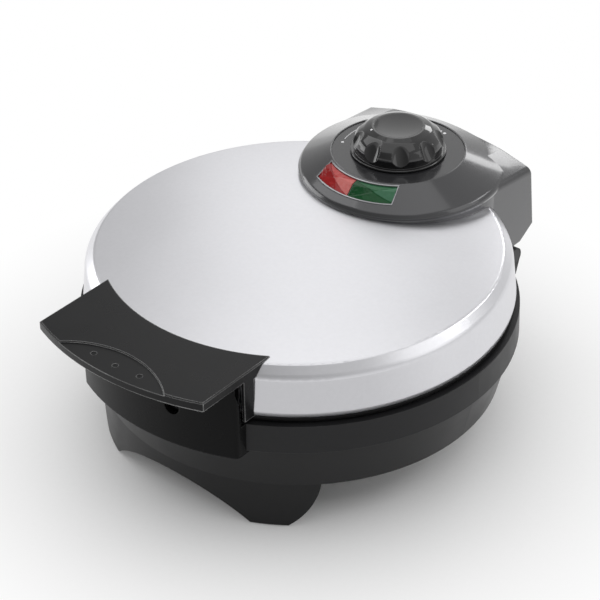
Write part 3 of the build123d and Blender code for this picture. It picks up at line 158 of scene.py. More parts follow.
class NodeSheet:
    """A node tree, with short calls that add nodes and join them."""

    bevel_samples = 6
    edge_range: Range = (0.985, 0.86)
    wave_period = 0.3  # how many metres a wave texture of scale 1 takes to repeat
    colour_inputs = (6, 7)  # a mix node's colours, which share their names with its numbers

    def __init__(self, owner: bpy.types.Material | bpy.types.World, coordinates: str) -> None:
        """Open the node tree of a new material or world.

        Args:
            owner: The material or world.
            coordinates: The name of the coordinates that the patterns follow.
        """
        owner.use_nodes = True
        self.tree = owner.node_tree
        self.place = self.add("TexCoord").outputs[coordinates]

    def feed(self, target: Socket, value: Value) -> None:
        """Give an input its value: another node's output, or a constant."""
        if isinstance(value, Socket):
            self.tree.links.new(value, target)
        else:
            target.default_value = value

    def add(self, kind: str, *values: Value, **settings: str | int) -> bpy.types.Node:
        """Add a node.

        Args:
            kind: The end of the node's type, such as Math.
            values: What its first inputs get, in their order.
            settings: The node's own settings.

        Returns:
            The new node.
        """
        node = self.tree.nodes.new(f"ShaderNode{kind}")
        for name, setting in settings.items():
            setattr(node, name, setting)
        for target, value in zip(node.inputs, values):
            self.feed(target, value)
        return node

    def math(self, operation: str, first: Socket, second: Socket | float = 0.0) -> Socket:
        """Add one step of arithmetic, such as MULTIPLY, and return its result."""
        return self.add("Math", first, second, operation=operation).outputs[0]

    def weigh(self, first: Socket, share: float, second: Socket, other_share: float) -> Socket:
        """Add two values, each times its own share."""
        scaled = self.math("MULTIPLY", first, share)
        return self.math("ADD", scaled, self.math("MULTIPLY", second, other_share))

    def dot(self, first: Socket, second: Value) -> Socket:
        """The dot product of two vectors."""
        return self.add("VectorMath", first, second, operation="DOT_PRODUCT").outputs["Value"]

    def split(self, vector: Socket) -> Sequence[Socket]:
        """The three parts of a vector."""
        return self.add("SeparateXYZ", vector).outputs

    def span(self, value: Socket, start: Range, end: Range = FULL) -> Socket:
        """Map a value from one range to another, and hold it inside.

        Args:
            value: The value to map.
            start: The range that the value comes in.
            end: The range that it leaves in.

        Returns:
            The mapped value's socket.
        """
        return self.add("MapRange", value, *start, *end).outputs["Result"]

    def blend(self, factor: Socket, first: Socket | Colour, second: Socket | Colour) -> Socket:
        """Mix two colours.

        Args:
            factor: The share of the second colour.
            first: The first colour.
            second: The second colour.

        Returns:
            The mixed colour's socket.
        """
        node = self.add("Mix", factor, data_type="RGBA")
        for number, colour in zip(self.colour_inputs, (first, second)):
            opaque = (*colour, 1.0) if isinstance(colour, tuple) else colour
            self.feed(node.inputs[number], opaque)
        return node.outputs[2]

    def around(self, centre: Triple, weight: float) -> Socket:
        """Coordinates that run round an upright axis: distance, angle and height.

        Args:
            centre: A point on the axis.
            weight: How much a radian counts against a metre of distance.

        Returns:
            The coordinates' socket.
        """
        shifted = self.add("VectorMath", self.place, centre, operation="SUBTRACT")
        across, along, up = self.split(shifted.outputs[0])
        squares = [self.math("MULTIPLY", part, part) for part in (across, along)]
        distance = self.math("SQRT", self.math("ADD", *squares))
        angle = self.math("MULTIPLY", self.math("ARCTAN2", along, across), weight)
        return self.add("CombineXYZ", distance, angle, up).outputs[0]

    def texture(
        self, kind: str, size: float, stretch: Triple, place: Socket | None
    ) -> bpy.types.Node:
        """Add a texture of a given grain.

        Args:
            kind: The end of the texture node's type.
            size: How far apart the texture's grains are.
            stretch: How much closer they are along each axis.
            place: The coordinates, or None for the piece's own.

        Returns:
            The texture's node.
        """
        mapping = self.add("Mapping", place or self.place)
        mapping.inputs["Scale"].default_value = [part / size for part in stretch]
        node = self.add(kind, mapping.outputs["Vector"])
        node.inputs["Scale"].default_value = 1.0
        return node

    def noise(
        self,
        size: float,
        detail: float = 3.0,
        stretch: Triple = EVEN,
        place: Socket | None = None,
    ) -> Socket:
        """Cloudy noise of one grain size.

        Args:
            size: How far one grain reaches.
            detail: How many finer layers the noise has.
            stretch: How much finer the grain is along each axis.
            place: The coordinates, or None for the piece's own.

        Returns:
            A value socket from 0 to 1.
        """
        node = self.texture("TexNoise", size, stretch, place)
        node.inputs["Detail"].default_value = detail
        return node.outputs["Fac"]

    def cells(self, size: float) -> Socket:
        """The distance from the nearest of many points that lie one size apart."""
        return self.texture("TexVoronoi", size, EVEN, None).outputs["Distance"]

    def waves(self, pitch: float, distortion: float, **settings: str) -> Socket:
        """Waves of one pitch.

        Args:
            pitch: How far apart the waves are.
            distortion: How uneven they are.
            settings: The wave texture's own settings.

        Returns:
            A value socket from 0 to 1.
        """
        node = self.add("TexWave", self.place, **settings)
        node.inputs["Scale"].default_value = self.wave_period / pitch
        node.inputs["Distortion"].default_value = distortion
        return node.outputs["Fac"]

    def soft_edge(self, radius: float) -> Socket:
        """The surface's normal with every edge rounded off to a radius."""
        node = self.add("Bevel", samples=self.bevel_samples)
        node.inputs["Radius"].default_value = radius
        return node.outputs["Normal"]

    def edge_mask(self, radius: float) -> Socket:
        """A value that is 1 on edges, as far as the radius reaches, and 0 on open faces."""
        flat = self.add("NewGeometry").outputs["Normal"]
        return self.span(self.dot(self.soft_edge(radius), flat), self.edge_range)

    def relief(self, height: Socket, depth: float, normal: Socket | None = None) -> Socket:
        """A bumped normal.

        Args:
            height: The height pattern from 0 to 1.
            depth: How deep the pattern is.
            normal: The normal that the relief starts from, or None for the surface's own.

        Returns:
            The normal's socket.
        """
        node = self.add("Bump")
        node.inputs["Distance"].default_value = depth
        self.feed(node.inputs["Height"], height)
        if normal is not None:
            self.feed(node.inputs["Normal"], normal)
        return node.outputs["Normal"]


class SurfaceSheet(NodeSheet):
    """The node tree of one material."""

    def __init__(self, name: str) -> None:
        """Start a material of the given name with a plain surface."""
        self.material = bpy.data.materials.new(name)
        super().__init__(self.material, "Object")
        self.surface = self.tree.nodes["Principled BSDF"]


@dataclass(frozen=True)
class Finish:
    """How one material looks: its colour, gloss, grain, and edges lightened partly as wear and
    partly as painted highlight.
    """

    name: str
    colour: Colour
    roughness: float = 0.4
    metallic: float = 0.0
    specular: float = 0.5
    coat: float = 0.0
    coat_roughness: float = 0.08
    clearness: float = 0.0
    grain_size: float = 0.8 * MM
    grain_depth: float = 0.02 * MM
    wave_size: float = 22.0 * MM
    wave_depth: float = 0.05 * MM
    colour_swing: float = 0.12
    roughness_swing: float = 0.06
    least_roughness: float = 0.02
    noise_range: Range = (0.3, 0.7)
    cloud_share: float = 0.6
    speckle_share: float = 0.4
    speckle_grains: float = 3.0
    # Edges are lightened towards a colour: partly wear, partly a painted highlight along rounded
    # edges.
    edge_wear_and_highlight: float = 0.2
    edge_wear_and_highlight_colour: Colour = (0.35, 0.35, 0.36)
    patch_range: Range = (0.35, 0.65)
    patch_wear_and_highlight: Range = (0.4, 1.0)
    edge_radius: float = 0.5 * MM

    def grain(self, sheet: NodeSheet) -> Socket:
        """The fine height pattern of the surface, from 0 to 1."""
        return sheet.noise(self.grain_size, detail=4.0)

    def clouds(self, sheet: NodeSheet) -> Socket:
        """The slow pattern that the colour and the gloss follow, from 0 to 1."""
        return sheet.noise(self.wave_size, detail=4.0)

    def tint(self, factor: float) -> Colour:
        """The finish's own colour, lighter or darker by a factor."""
        return tuple(min(1.0, part * factor) for part in self.colour)

    def paint_colour(self, sheet: NodeSheet, clouds: Socket) -> Socket:
        """The colour, with its variation and its lightened edges, which are partly wear and
        partly painted highlight.

        Args:
            sheet: The material's node tree.
            clouds: The slow pattern.

        Returns:
            The colour's socket.
        """
        speckle = sheet.noise(self.grain_size * self.speckle_grains, detail=2.0)
        mixed = sheet.weigh(clouds, self.cloud_share, speckle, self.speckle_share)
        spread = sheet.span(mixed, self.noise_range)
        dark, light = (self.tint(1 + side * self.colour_swing) for side in BOTH_SIDES)
        # Lightened edges: partly wear, partly painted highlight.
        worn_and_highlit = sheet.math("MULTIPLY", sheet.edge_mask(self.edge_radius), self.edge_wear_and_highlight)
        patches = sheet.span(clouds, self.patch_range, self.patch_wear_and_highlight)
        patchy = sheet.math("MULTIPLY", worn_and_highlit, patches)
        return sheet.blend(patchy, sheet.blend(spread, dark, light), self.edge_wear_and_highlight_colour)

    def make(self) -> bpy.types.Material:
        """Build the finish's material."""
        sheet = SurfaceSheet(self.name)
        inputs = sheet.surface.inputs
        clouds = self.clouds(sheet)
        sheet.feed(inputs["Base Color"], self.paint_colour(sheet, clouds))
        low = max(self.least_roughness, self.roughness - self.roughness_swing)
        high = self.roughness + self.roughness_swing
        sheet.feed(inputs["Roughness"], sheet.span(clouds, self.noise_range, (low, high)))
        inputs["Metallic"].default_value = self.metallic
        inputs["Specular IOR Level"].default_value = self.specular
        inputs["Coat Weight"].default_value = self.coat
        inputs["Coat Roughness"].default_value = self.coat_roughness
        inputs["Transmission Weight"].default_value = self.clearness
        rounded = sheet.soft_edge(self.edge_radius)
        waved = sheet.relief(clouds, self.wave_depth, rounded)
        grained = sheet.relief(self.grain(sheet), self.grain_depth, waved)
        sheet.feed(inputs["Normal"], grained)
        if self.coat > 0:
            sheet.feed(inputs["Coat Normal"], rounded)
        return sheet.material


@dataclass(frozen=True)
class SpunSteel(Finish):
    """Metal sheet, brushed in circles round an upright axis."""

    centre: Triple = (0.0, 6.25 * MM, 0.0)
    turn_weight: float = 4.0 * MM
    stroke: float = 0.35 * MM
    stroke_stretch: Triple = (1.0, 0.35, 1.0)
    wide_strokes: float = 5.0
    fine_share: float = 0.6
    wide_share: float = 0.4

    def grain(self, sheet: NodeSheet) -> Socket:
        """Long thin strokes round the axis."""
        place = sheet.around(self.centre, self.turn_weight)
        fine, wide = (
            sheet.noise(size, detail, self.stroke_stretch, place)
            for size, detail in ((self.stroke, 3.0), (self.stroke * self.wide_strokes, 2.0))
        )
        return sheet.weigh(fine, self.fine_share, wide, self.wide_share)


@dataclass(frozen=True)
class MetallicPaint(Finish):
    """Moulded plastic under a paint with fine metal flakes and a clear coat."""

    flake: float = 0.35 * MM
    flake_range: Range = (0.28, 0.05)
    flake_share: float = 0.2
    flake_tint: float = 1.5

    def paint_colour(self, sheet: NodeSheet, clouds: Socket) -> Socket:
        """The plain colour with brighter flakes scattered in it."""
        colour = super().paint_colour(sheet, clouds)
        flakes = sheet.span(sheet.cells(self.flake), self.flake_range, (0.0, self.flake_share))
        return sheet.blend(flakes, colour, self.tint(self.flake_tint))


@dataclass(frozen=True)
class CastCoating(Finish):
    """Cast aluminium under a non-stick coat, with a faint sprayed texture."""

    spray_grains: float = 2.0

    def grain(self, sheet: NodeSheet) -> Socket:
        """Small pits between sprayed drops."""
        pits = sheet.cells(self.grain_size)
        return sheet.math("ADD", pits, sheet.noise(self.grain_size * self.spray_grains))


@dataclass(frozen=True)
class WovenSleeve(Finish):
    """A sleeve of woven glass thread."""

    thread: float = 0.5 * MM
    unevenness: float = 0.4

    def grain(self, sheet: NodeSheet) -> Socket:
        """Threads that cross each other."""
        threads = [
            sheet.waves(self.thread, self.unevenness, bands_direction=way)
            for way in ("X", "DIAGONAL")
        ]
        return sheet.math("MAXIMUM", *threads)


@dataclass(frozen=True)
class CutLens(Finish):
    """Tinted clear plastic whose underside is cut as a long pyramid of four facets; the facets'
    unequal brightness is a painted highlight.
    """

    centre: Triple = (0.0, 96.05 * MM, 0.0)
    middle_radius: float = 45.1 * MM
    half_depth: float = 4.7 * MM
    middle_angle: float = 0.0
    half_angle: float = 17.5
    # These set which facets carry the painted highlight.
    facet_edge: Range = (-0.06, 0.06)
    rising_share: float = 0.55
    falling_share: float = 0.22
    ripple_size: float = 2.2 * MM
    ripple_share: float = 0.25
    # The pale colour and its range give the bright facets their painted highlight.
    painted_glint_colour: Colour = (0.9, 0.6, 0.55)
    painted_glint_range: Range = (0.55, 1.05)
    painted_glint_share: float = 0.55

    def clouds(self, sheet: NodeSheet) -> Socket:
        """Facets that meet on the lens's two diagonals, with unequal brightness as painted
        highlight.
        """
        radius, turn, _ = sheet.split(sheet.around(self.centre, 1.0))
        low, high = (
            math.radians(self.middle_angle + side * self.half_angle) for side in BOTH_SIDES
        )
        along = sheet.span(turn, (low, high), BOTH_SIDES)
        reach = (self.middle_radius - self.half_depth, self.middle_radius + self.half_depth)
        across = sheet.span(radius, reach, BOTH_SIDES)
        rising = sheet.span(sheet.math("SUBTRACT", along, across), self.facet_edge)
        falling = sheet.span(sheet.math("ADD", along, across), self.facet_edge)
        facets = sheet.weigh(rising, self.rising_share, falling, self.falling_share)
        ripple = sheet.noise(self.ripple_size, detail=1.0)
        return sheet.math("ADD", facets, sheet.math("MULTIPLY", ripple, self.ripple_share))

    def paint_colour(self, sheet: NodeSheet, clouds: Socket) -> Socket:
        """The tint, with a painted highlight that makes some facets paler."""
        colour = super().paint_colour(sheet, clouds)
        painted_glints = sheet.span(clouds, self.painted_glint_range, (0.0, self.painted_glint_share))
        return sheet.blend(painted_glints, colour, self.painted_glint_colour)


@dataclass(frozen=True)
class Ribbed(Finish):
    """A surface with fine rings round an upright axis, such as a rubber pad."""

    pitch: float = 1.2 * MM
    unevenness: float = 0.2

    def grain(self, sheet: NodeSheet) -> Socket:
        """Rings with the noise of moulded rubber."""
        rings = sheet.waves(
            self.pitch, self.unevenness, wave_type="RINGS", rings_direction="Z"
        )
        return sheet.math("ADD", rings, sheet.noise(self.grain_size))


BLACK_PLASTIC = Finish(
    "satin_black_plastic", (0.012, 0.012, 0.0125), roughness=0.34, specular=0.26,
    edge_wear_and_highlight=0.20, edge_wear_and_highlight_colour=grey(0.14), edge_radius=0.8 * MM, colour_swing=0.10,
    grain_depth=0.008 * MM, wave_depth=0.008 * MM,
)
BAND_PLASTIC = replace(
    BLACK_PLASTIC, name="satin_band_plastic", colour=(0.015, 0.015, 0.016), roughness=0.40,
    edge_wear_and_highlight=0.25, edge_radius=0.6 * MM,
)
# A darker copy of the black plastic: the extra darkness is painted shade, on the front wall
# under the handle plate and on the ring in the gap under the lid.
SHADE_DARKENED_BLACK = replace(
    BLACK_PLASTIC, name="shade_darkened_black_plastic", colour=(0.005, 0.005, 0.0052), roughness=0.24,
    specular=0.10, edge_wear_and_highlight=0.25, edge_wear_and_highlight_colour=grey(0.12), grain_depth=0.006 * MM,
)
# The strong pale edges of this finish are painted highlight along the handle's rounded edges.
HANDLE_BLACK = replace(
    BLACK_PLASTIC, name="moulded_handle_plastic", colour=(0.009, 0.009, 0.0095), roughness=0.30,
    specular=0.18, edge_wear_and_highlight=0.85, edge_wear_and_highlight_colour=grey(0.48), edge_radius=0.9 * MM,
    grain_depth=0.006 * MM, wave_depth=0.005 * MM,
)
HOUSING_GREY = MetallicPaint(
    "metallic_grey_paint", (0.048, 0.048, 0.051), roughness=0.22, metallic=0.6, coat=1.0,
    coat_roughness=0.09, grain_depth=0.001 * MM, wave_depth=0.003 * MM, edge_wear_and_highlight=0.12,
    edge_wear_and_highlight_colour=(0.3, 0.3, 0.31), edge_radius=0.9 * MM, colour_swing=0.04, roughness_swing=0.02,
)
# The strong pale edges of this finish are painted highlight: a light rim line round the dial
# plate.
DIAL_GREY = replace(
    HOUSING_GREY, name="metallic_dial_paint", colour=(0.026, 0.026, 0.028), roughness=0.24,
    metallic=0.1, specular=0.3, coat=0.5, coat_roughness=0.05, edge_wear_and_highlight=0.80,
    edge_wear_and_highlight_colour=grey(0.45), edge_radius=0.5 * MM,
)
KNOB_BLACK = Finish(
    "polished_black_knob", (0.005, 0.005, 0.0054), roughness=0.08, coat=0.75,
    coat_roughness=0.03, specular=0.4, grain_depth=0.002 * MM, wave_depth=0.003 * MM,
    roughness_swing=0.03, edge_wear_and_highlight=0.06,
)
CAP_BLACK = replace(
    KNOB_BLACK, name="polished_black_cap", roughness=0.09, coat=0.35, specular=0.35
)
LID_STEEL = SpunSteel(
    "spun_stainless", (0.70, 0.70, 0.725), roughness=0.31, metallic=1.0,
    grain_depth=0.006 * MM, wave_size=60.0 * MM, wave_depth=0.004 * MM, colour_swing=0.03,
    roughness_swing=0.015, edge_wear_and_highlight=0.15, edge_wear_and_highlight_colour=(0.85, 0.85, 0.86), edge_radius=0.3 * MM,
)
PLATED_STEEL = Finish(
    "zinc_plated_sheet", (0.55, 0.55, 0.54), roughness=0.33, metallic=1.0,
    grain_depth=0.012 * MM, colour_swing=0.10, roughness_swing=0.1, edge_radius=0.2 * MM,
    edge_wear_and_highlight_colour=(0.75, 0.75, 0.73),
)
SCREW_STEEL = Finish(
    "zinc_plated_screw", (0.48, 0.48, 0.49), roughness=0.27, metallic=1.0,
    grain_size=0.3 * MM, grain_depth=0.01 * MM, wave_size=4.0 * MM, edge_radius=0.15 * MM,
    edge_wear_and_highlight_colour=(0.75, 0.75, 0.74),
)
DARK_PIN = replace(
    SCREW_STEEL, name="blackened_pin", colour=(0.05, 0.05, 0.052), roughness=0.35,
    metallic=0.9, colour_swing=0.15, edge_radius=0.2 * MM, edge_wear_and_highlight_colour=grey(0.3),
)
NONSTICK = CastCoating(
    "nonstick_coating", (0.035, 0.035, 0.036), roughness=0.38, specular=0.6,
    grain_size=1.1 * MM, edge_wear_and_highlight=0.22, edge_wear_and_highlight_colour=grey(0.22), edge_radius=0.8 * MM,
    colour_swing=0.15,
)
HEATER_STEEL = Finish(
    "oxidised_heater_sheath", (0.15, 0.13, 0.12), roughness=0.5, metallic=0.8,
    wave_size=9.0 * MM, colour_swing=0.35, roughness_swing=0.12, edge_radius=0.3 * MM,
)
REFLECTOR = SpunSteel(
    "rolled_aluminium", (0.78, 0.78, 0.79), roughness=0.25, metallic=1.0,
    grain_depth=0.006 * MM, colour_swing=0.05, edge_radius=0.2 * MM, edge_wear_and_highlight_colour=grey(0.9),
)
CERAMIC = Finish(
    "unglazed_ceramic", (0.74, 0.70, 0.62), roughness=0.72, grain_size=0.5 * MM,
    grain_depth=0.05 * MM, colour_swing=0.08, edge_wear_and_highlight_colour=(0.85, 0.83, 0.78),
    edge_radius=0.3 * MM,
)
RUBBER = Ribbed(
    "ribbed_rubber", grey(0.02), roughness=0.75, specular=0.3, grain_depth=0.08 * MM,
    edge_wear_and_highlight_colour=grey(0.10),
)
BRASS = Finish(
    "plain_brass", (0.72, 0.56, 0.27), roughness=0.3, metallic=1.0,
    grain_size=0.3 * MM, wave_size=4.0 * MM, edge_radius=0.2 * MM, edge_wear_and_highlight_colour=(0.9, 0.78, 0.5),
)
PHENOLIC = Finish(
    "moulded_phenolic", (0.60, 0.54, 0.44), roughness=0.55, edge_wear_and_highlight_colour=(0.75, 0.7, 0.62),
    edge_radius=0.4 * MM,
)
SLEEVE = WovenSleeve(
    "woven_glass_sleeve", (0.76, 0.73, 0.62), roughness=0.85, grain_depth=0.12 * MM,
    colour_swing=0.1, edge_wear_and_highlight_colour=(0.85, 0.83, 0.75),
)
RED_WIRE = Finish(
    "red_insulation", (0.50, 0.045, 0.035), roughness=0.42, wave_size=6.0 * MM,
    edge_wear_and_highlight_colour=(0.65, 0.2, 0.18), edge_radius=0.2 * MM,
)
WHITE_WIRE = replace(
    RED_WIRE, name="white_insulation", colour=(0.78, 0.78, 0.75), edge_wear_and_highlight_colour=(0.7, 0.69, 0.66)
)
BEZEL = Finish(
    "satin_plated_bezel", (0.30, 0.30, 0.31), roughness=0.22, metallic=1.0,
    grain_size=0.4 * MM, grain_depth=0.004 * MM, colour_swing=0.06, edge_radius=0.3 * MM,
    edge_wear_and_highlight_colour=grey(0.85),
)
# The lenses' pale facet colours are painted highlight.
RED_LENS = CutLens(
    "red_tinted_lens", (0.40, 0.008, 0.008), roughness=0.10, clearness=0.15, coat=0.15,
    specular=0.2, coat_roughness=0.03, wave_depth=0.6 * MM, colour_swing=0.25, edge_wear_and_highlight=0.25,
    edge_wear_and_highlight_colour=(0.85, 0.35, 0.3), painted_glint_colour=(0.84, 0.38, 0.34), middle_angle=-105.5,
)
GREEN_LENS = replace(
    RED_LENS, name="green_tinted_lens", colour=(0.001, 0.085, 0.018),
    edge_wear_and_highlight_colour=(0.25, 0.6, 0.42), painted_glint_colour=(0.11, 0.26, 0.18), middle_angle=-70.5,
)
LAMP_GLASS = Finish(
    "lamp_glass", (0.9, 0.86, 0.78), roughness=0.06, clearness=0.9,
    grain_depth=0.004 * MM, wave_size=3.0 * MM, edge_wear_and_highlight=0.0, edge_radius=0.2 * MM,
)
HOLDER = Finish(
    "white_holder_plastic", (0.74, 0.74, 0.71), roughness=0.5,
    edge_wear_and_highlight_colour=(0.8, 0.8, 0.78), edge_radius=0.2 * MM,
)
MARK_PAINT = Finish(
    "printed_mark", (0.78, 0.78, 0.79), roughness=0.45, grain_size=0.25 * MM,
    grain_depth=0.01 * MM, wave_size=3.0 * MM, colour_swing=0.06, edge_radius=0.05 * MM,
    edge_wear_and_highlight_colour=grey(0.6),
)


class Paintbox:
    """Keeps each finish's material, so that it is made once."""

    def __init__(self) -> None:
        """Start with no materials."""
        self.made: dict[str, bpy.types.Material] = {}

    def material(self, finish: Finish) -> bpy.types.Material:
        """The material of a finish, made at the first call for it."""
        if finish.name not in self.made:
            self.made[finish.name] = finish.make()
        return self.made[finish.name]

    def coat(self, piece: Piece, finish: Finish) -> None:
        """Give a mesh piece one finish all over."""
        piece.data.materials.clear()
        piece.data.materials.append(self.material(finish))


class MeshDraft:
    """Points and faces of a new piece, gathered before it becomes an object."""

    def __init__(self) -> None:
        """Start empty."""
        self.points: list[Vector] = []
        self.faces: list[tuple[int, ...]] = []

    def loop(self, points: Iterable[Vector]) -> list[int]:
        """Add points and return their numbers."""
        start = len(self.points)
        self.points.extend(points)
        return list(range(start, len(self.points)))

    def ring(
        self, centre: Vector, side: Vector, other: Vector, radius: float, count: int
    ) -> list[int]:
        """Add the points of a circle.

        Args:
            centre: The circle's middle.
            side: The way to its first point.
            other: The way to the point a quarter turn on.
            radius: Its radius.
            count: How many points it has.

        Returns:
            The points' numbers.
        """
        return self.loop(
            centre + (side * math.cos(angle) + other * math.sin(angle)) * radius
            for angle in ring_angles(count)
        )

    def skin(self, loops: Sequence[Sequence[int]]) -> None:
        """Join each closed loop to the next one with four-sided faces."""
        for first, second in zip(loops, loops[1:]):
            count = len(first)
            for index in range(count):
                after = (index + 1) % count
                self.faces.append((first[index], first[after], second[after], second[index]))

    def cover(self, loop: Iterable[int]) -> None:
        """Close a loop with one face."""
        self.faces.append(tuple(loop))

    def solid(self, loops: Sequence[Sequence[int]]) -> None:
        """Join loops that turn anticlockwise round their way, and close both ends."""
        self.skin(loops)
        self.cover(reversed(loops[0]))
        self.cover(loops[-1])

    def piece(self, name: str, sharp_degrees: float = 35.0) -> Piece:
        """Make the object, smooth apart from its sharp edges.

        Args:
            name: The object's name.
            sharp_degrees: The angle from which an edge stays sharp.

        Returns:
            The new object, in the scene.
        """
        mesh = bpy.data.meshes.new(name)
        mesh.from_pydata([tuple(point) for point in self.points], [], self.faces)
        mesh.validate()
        smooth(mesh, sharp_degrees)
        piece = bpy.data.objects.new(name, mesh)
        bpy.context.scene.collection.objects.link(piece)
        return piece


def smooth(mesh: bpy.types.Mesh, sharp_degrees: float) -> None:
    """Shade a mesh smooth, apart from edges sharper than an angle."""
    mesh.polygons.foreach_set("use_smooth", [True] * len(mesh.polygons))
    mesh.set_sharp_from_angle(angle=math.radians(sharp_degrees))
    mesh.update()


def islands(piece: Piece, digits: int = 6) -> list[tuple[Vector, Vector]]:
    """The boxes of a mesh's separate solids.

    Args:
        piece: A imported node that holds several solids.
        digits: To how many digits of a metre two points count as one.

    Returns:
        The lowest and highest corner of each solid.
    """
    mesh = piece.data
    places = [tuple(round(part, digits) for part in vertex.co) for vertex in mesh.vertices]
    parent: dict[Triple, Triple] = {place: place for place in places}

    def root(place: Triple) -> Triple:
        """The place that stands for everything joined to this one."""
        while parent[place] != place:
            parent[place] = parent[parent[place]]
            place = parent[place]
        return place

    for edge in mesh.edges:
        first, second = (root(places[number]) for number in edge.vertices)
        parent[first] = second
    found: dict[Triple, list[Triple]] = defaultdict(list)
    for place in parent:
        found[root(place)].append(place)
    clouds = [np.array(members) for members in found.values()]
    boxes = [(Vector(cloud.min(0)), Vector(cloud.max(0))) for cloud in clouds]
    return sorted(boxes, key=lambda box: tuple(box[0]))


@dataclass
class SubAssembly:
    """A group of pieces that belong together, with the means to dress them."""

    frame: dict
    paints: Paintbox

    def build(self) -> None:
        """Dress the group's nodes and model its new pieces."""
        raise NotImplementedError

    def dress(self, finish: Finish, *nodes: str, sharp_degrees: float = 30.0) -> None:
        """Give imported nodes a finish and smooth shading.

        Args:
            finish: The finish.
            nodes: The names of the nodes.
            sharp_degrees: The angle from which an edge stays sharp.
        """
        for name in nodes:
            piece = self.frame["nodes"][name]
            smooth(piece.data, sharp_degrees)
            self.paints.coat(piece, finish)
            LOG.info("dressed %s in %s", name, finish.name)

    def add(self, piece: Piece, body: Body, finish: Finish, slot: Slot) -> None:
        """Finish a new piece and let it ride on its body.

        Args:
            piece: The new piece.
            body: The body that carries it.
            finish: The finish that it gets.
            slot: The record's material slot; not used.
        """
        self.paints.coat(piece, finish)
        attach(piece, body.value)
        LOG.info("added %s on %s", piece.name, body.value)


@dataclass
class CrossScrews:
    """Pan head screws with a cross recess, in the place of a node's plain ones.

    A share without another word is a share of the head's radius.
    """

    ring_count: int = 14
    segment_count: int = 48
    head_share: float = 0.58
    rim_share: float = 0.985
    crown_share: float = 0.35  # of the head's height
    recess_share: float = 0.55  # of the head's height
    arm_share: float = 0.56
    arm_width: float = 0.30
    wall_share: float = 0.7  # of half an arm's width
    shank_share: float = 0.54
    tip_share: float = 0.55  # of the shank's radius
    taper_share: float = 0.5  # of the shank's radius
    plain_share: float = 1.2  # of the shank's radius
    thread_pitch: float = 0.8 * MM
    thread_depth: float = 0.18 * MM
    sharp_degrees: float = 40.0

    def head_height(self, across: float, along: float, radius: float, height: float) -> float:
        """Height of the head's top over its seat, with the cross cut into it.

        Args:
            across: Distance from the middle, along the first arm.
            along: Distance from the middle, along the second arm.
            radius: The head's radius.
            height: The head's height at its middle.

        Returns:
            The height at that place.
        """
        share = math.hypot(across, along) / radius
        dome = height * (1 - self.crown_share * share ** 2)
        arm = radius * self.arm_share
        half = radius * self.arm_width / 2
        wall = half * self.wall_share
        inside = max(
            self.step(arm - abs(across), half) * self.step(half - abs(along), wall),
            self.step(arm - abs(along), half) * self.step(half - abs(across), wall),
        )
        return dome - height * self.recess_share * inside

    @staticmethod
    def step(distance: float, width: float) -> float:
        """A smooth step from 0 to 1 over a width, halfway up at no distance."""
        share = min(1.0, max(0.0, distance / width + 0.5))
        return share * share * (3 - 2 * share)

    def screw(self, draft: MeshDraft, box: tuple[Vector, Vector], axis: Vector) -> None:
        """Model one screw in the box of a plain one.

        Args:
            draft: The draft that takes the screw's points and faces.
            box: The plain screw's lowest and highest corner.
            axis: The direction from the tip to the head, along Y or Z.
        """
        low, high = box
        size = high - low
        half_length = abs(size.dot(axis)) / 2
        radius = size.x / 2
        height = radius * self.head_share
        shank = radius * self.shank_share
        core = shank - self.thread_depth
        other = axis.cross(ACROSS)
        middle = (low + high) / 2
        seat = middle + axis * (half_length - height)
        tip = middle - axis * half_length
        start = tip + axis * shank * self.taper_share

        def circle(centre: Vector, reach: float) -> list[int]:
            """One loop of points round the screw's axis."""
            return draft.ring(centre, ACROSS, other, reach, self.segment_count)

        loops = [circle(tip, shank * self.tip_share), circle(start, core)]
        threaded = max(0.0, (seat - tip).length - shank * self.plain_share)
        for index in range(int(threaded / self.thread_pitch)):
            crest = start + axis * self.thread_pitch * (index + 0.5)
            loops.append(circle(crest, shank))
            loops.append(circle(crest + axis * self.thread_pitch / 2, core))
        loops += [circle(seat, core), circle(seat, radius)]
        for index in range(self.ring_count):
            reach = radius * (1 - index / self.ring_count if index else self.rim_share)
            points = []
            for angle in ring_angles(self.segment_count):
                across, along = reach * math.cos(angle), reach * math.sin(angle)
                rise = self.head_height(across, along, radius, height)
                points.append(seat + ACROSS * across + other * along + axis * rise)
            loops.append(draft.loop(points))
        draft.solid(loops)

    def replace(self, group: SubAssembly, node: str, body: Body, axis: Vector) -> None:
        """Model a whole node's screws.

        Args:
            group: The sub-assembly that the screws belong to.
            node: The node's name.
            body: The body that carries it.
            axis: The direction from the tips to the heads.
        """
        draft = MeshDraft()
        for box in islands(group.frame["nodes"][node]):
            self.screw(draft, box, axis)
        piece = draft.piece(f"{node}_cross_head", self.sharp_degrees)
        group.add(piece, body, SCREW_STEEL, Slot.SCREW)
        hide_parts(node)


@dataclass
class BaseUnit(SubAssembly):
    """The bowl on four feet, its band, its bottom sheet and the cord inlet."""

    screws: CrossScrews = field(default_factory=CrossScrews)

    def build(self) -> None:
        """Dress the base and model the screws that show."""
        self.dress(BLACK_PLASTIC, "base_housing", "cord_gland", "gland_nut")
        self.dress(BAND_PLASTIC, "base_ring")
        self.dress(PLATED_STEEL, "bottom_cover")
        self.dress(RUBBER, "foot_pads")
        for node in ("bottom_cover_screws", "lower_plate_screws"):
            self.screws.replace(self, node, Body.BASE, -UP)


@dataclass
class FrontHandles(SubAssembly):
    """The lid's handle plate and the curved front wall under it."""

    def build(self) -> None:
        """Dress both handles and their screws."""
        self.dress(HANDLE_BLACK, "lid_handle")
        # The front wall takes the darker copy of the black plastic, as painted shade under the
        # handle plate.
        self.dress(SHADE_DARKENED_BLACK, "lower_handle")
        self.dress(DARK_PIN, "lower_handle_screws", "lid_handle_screws")


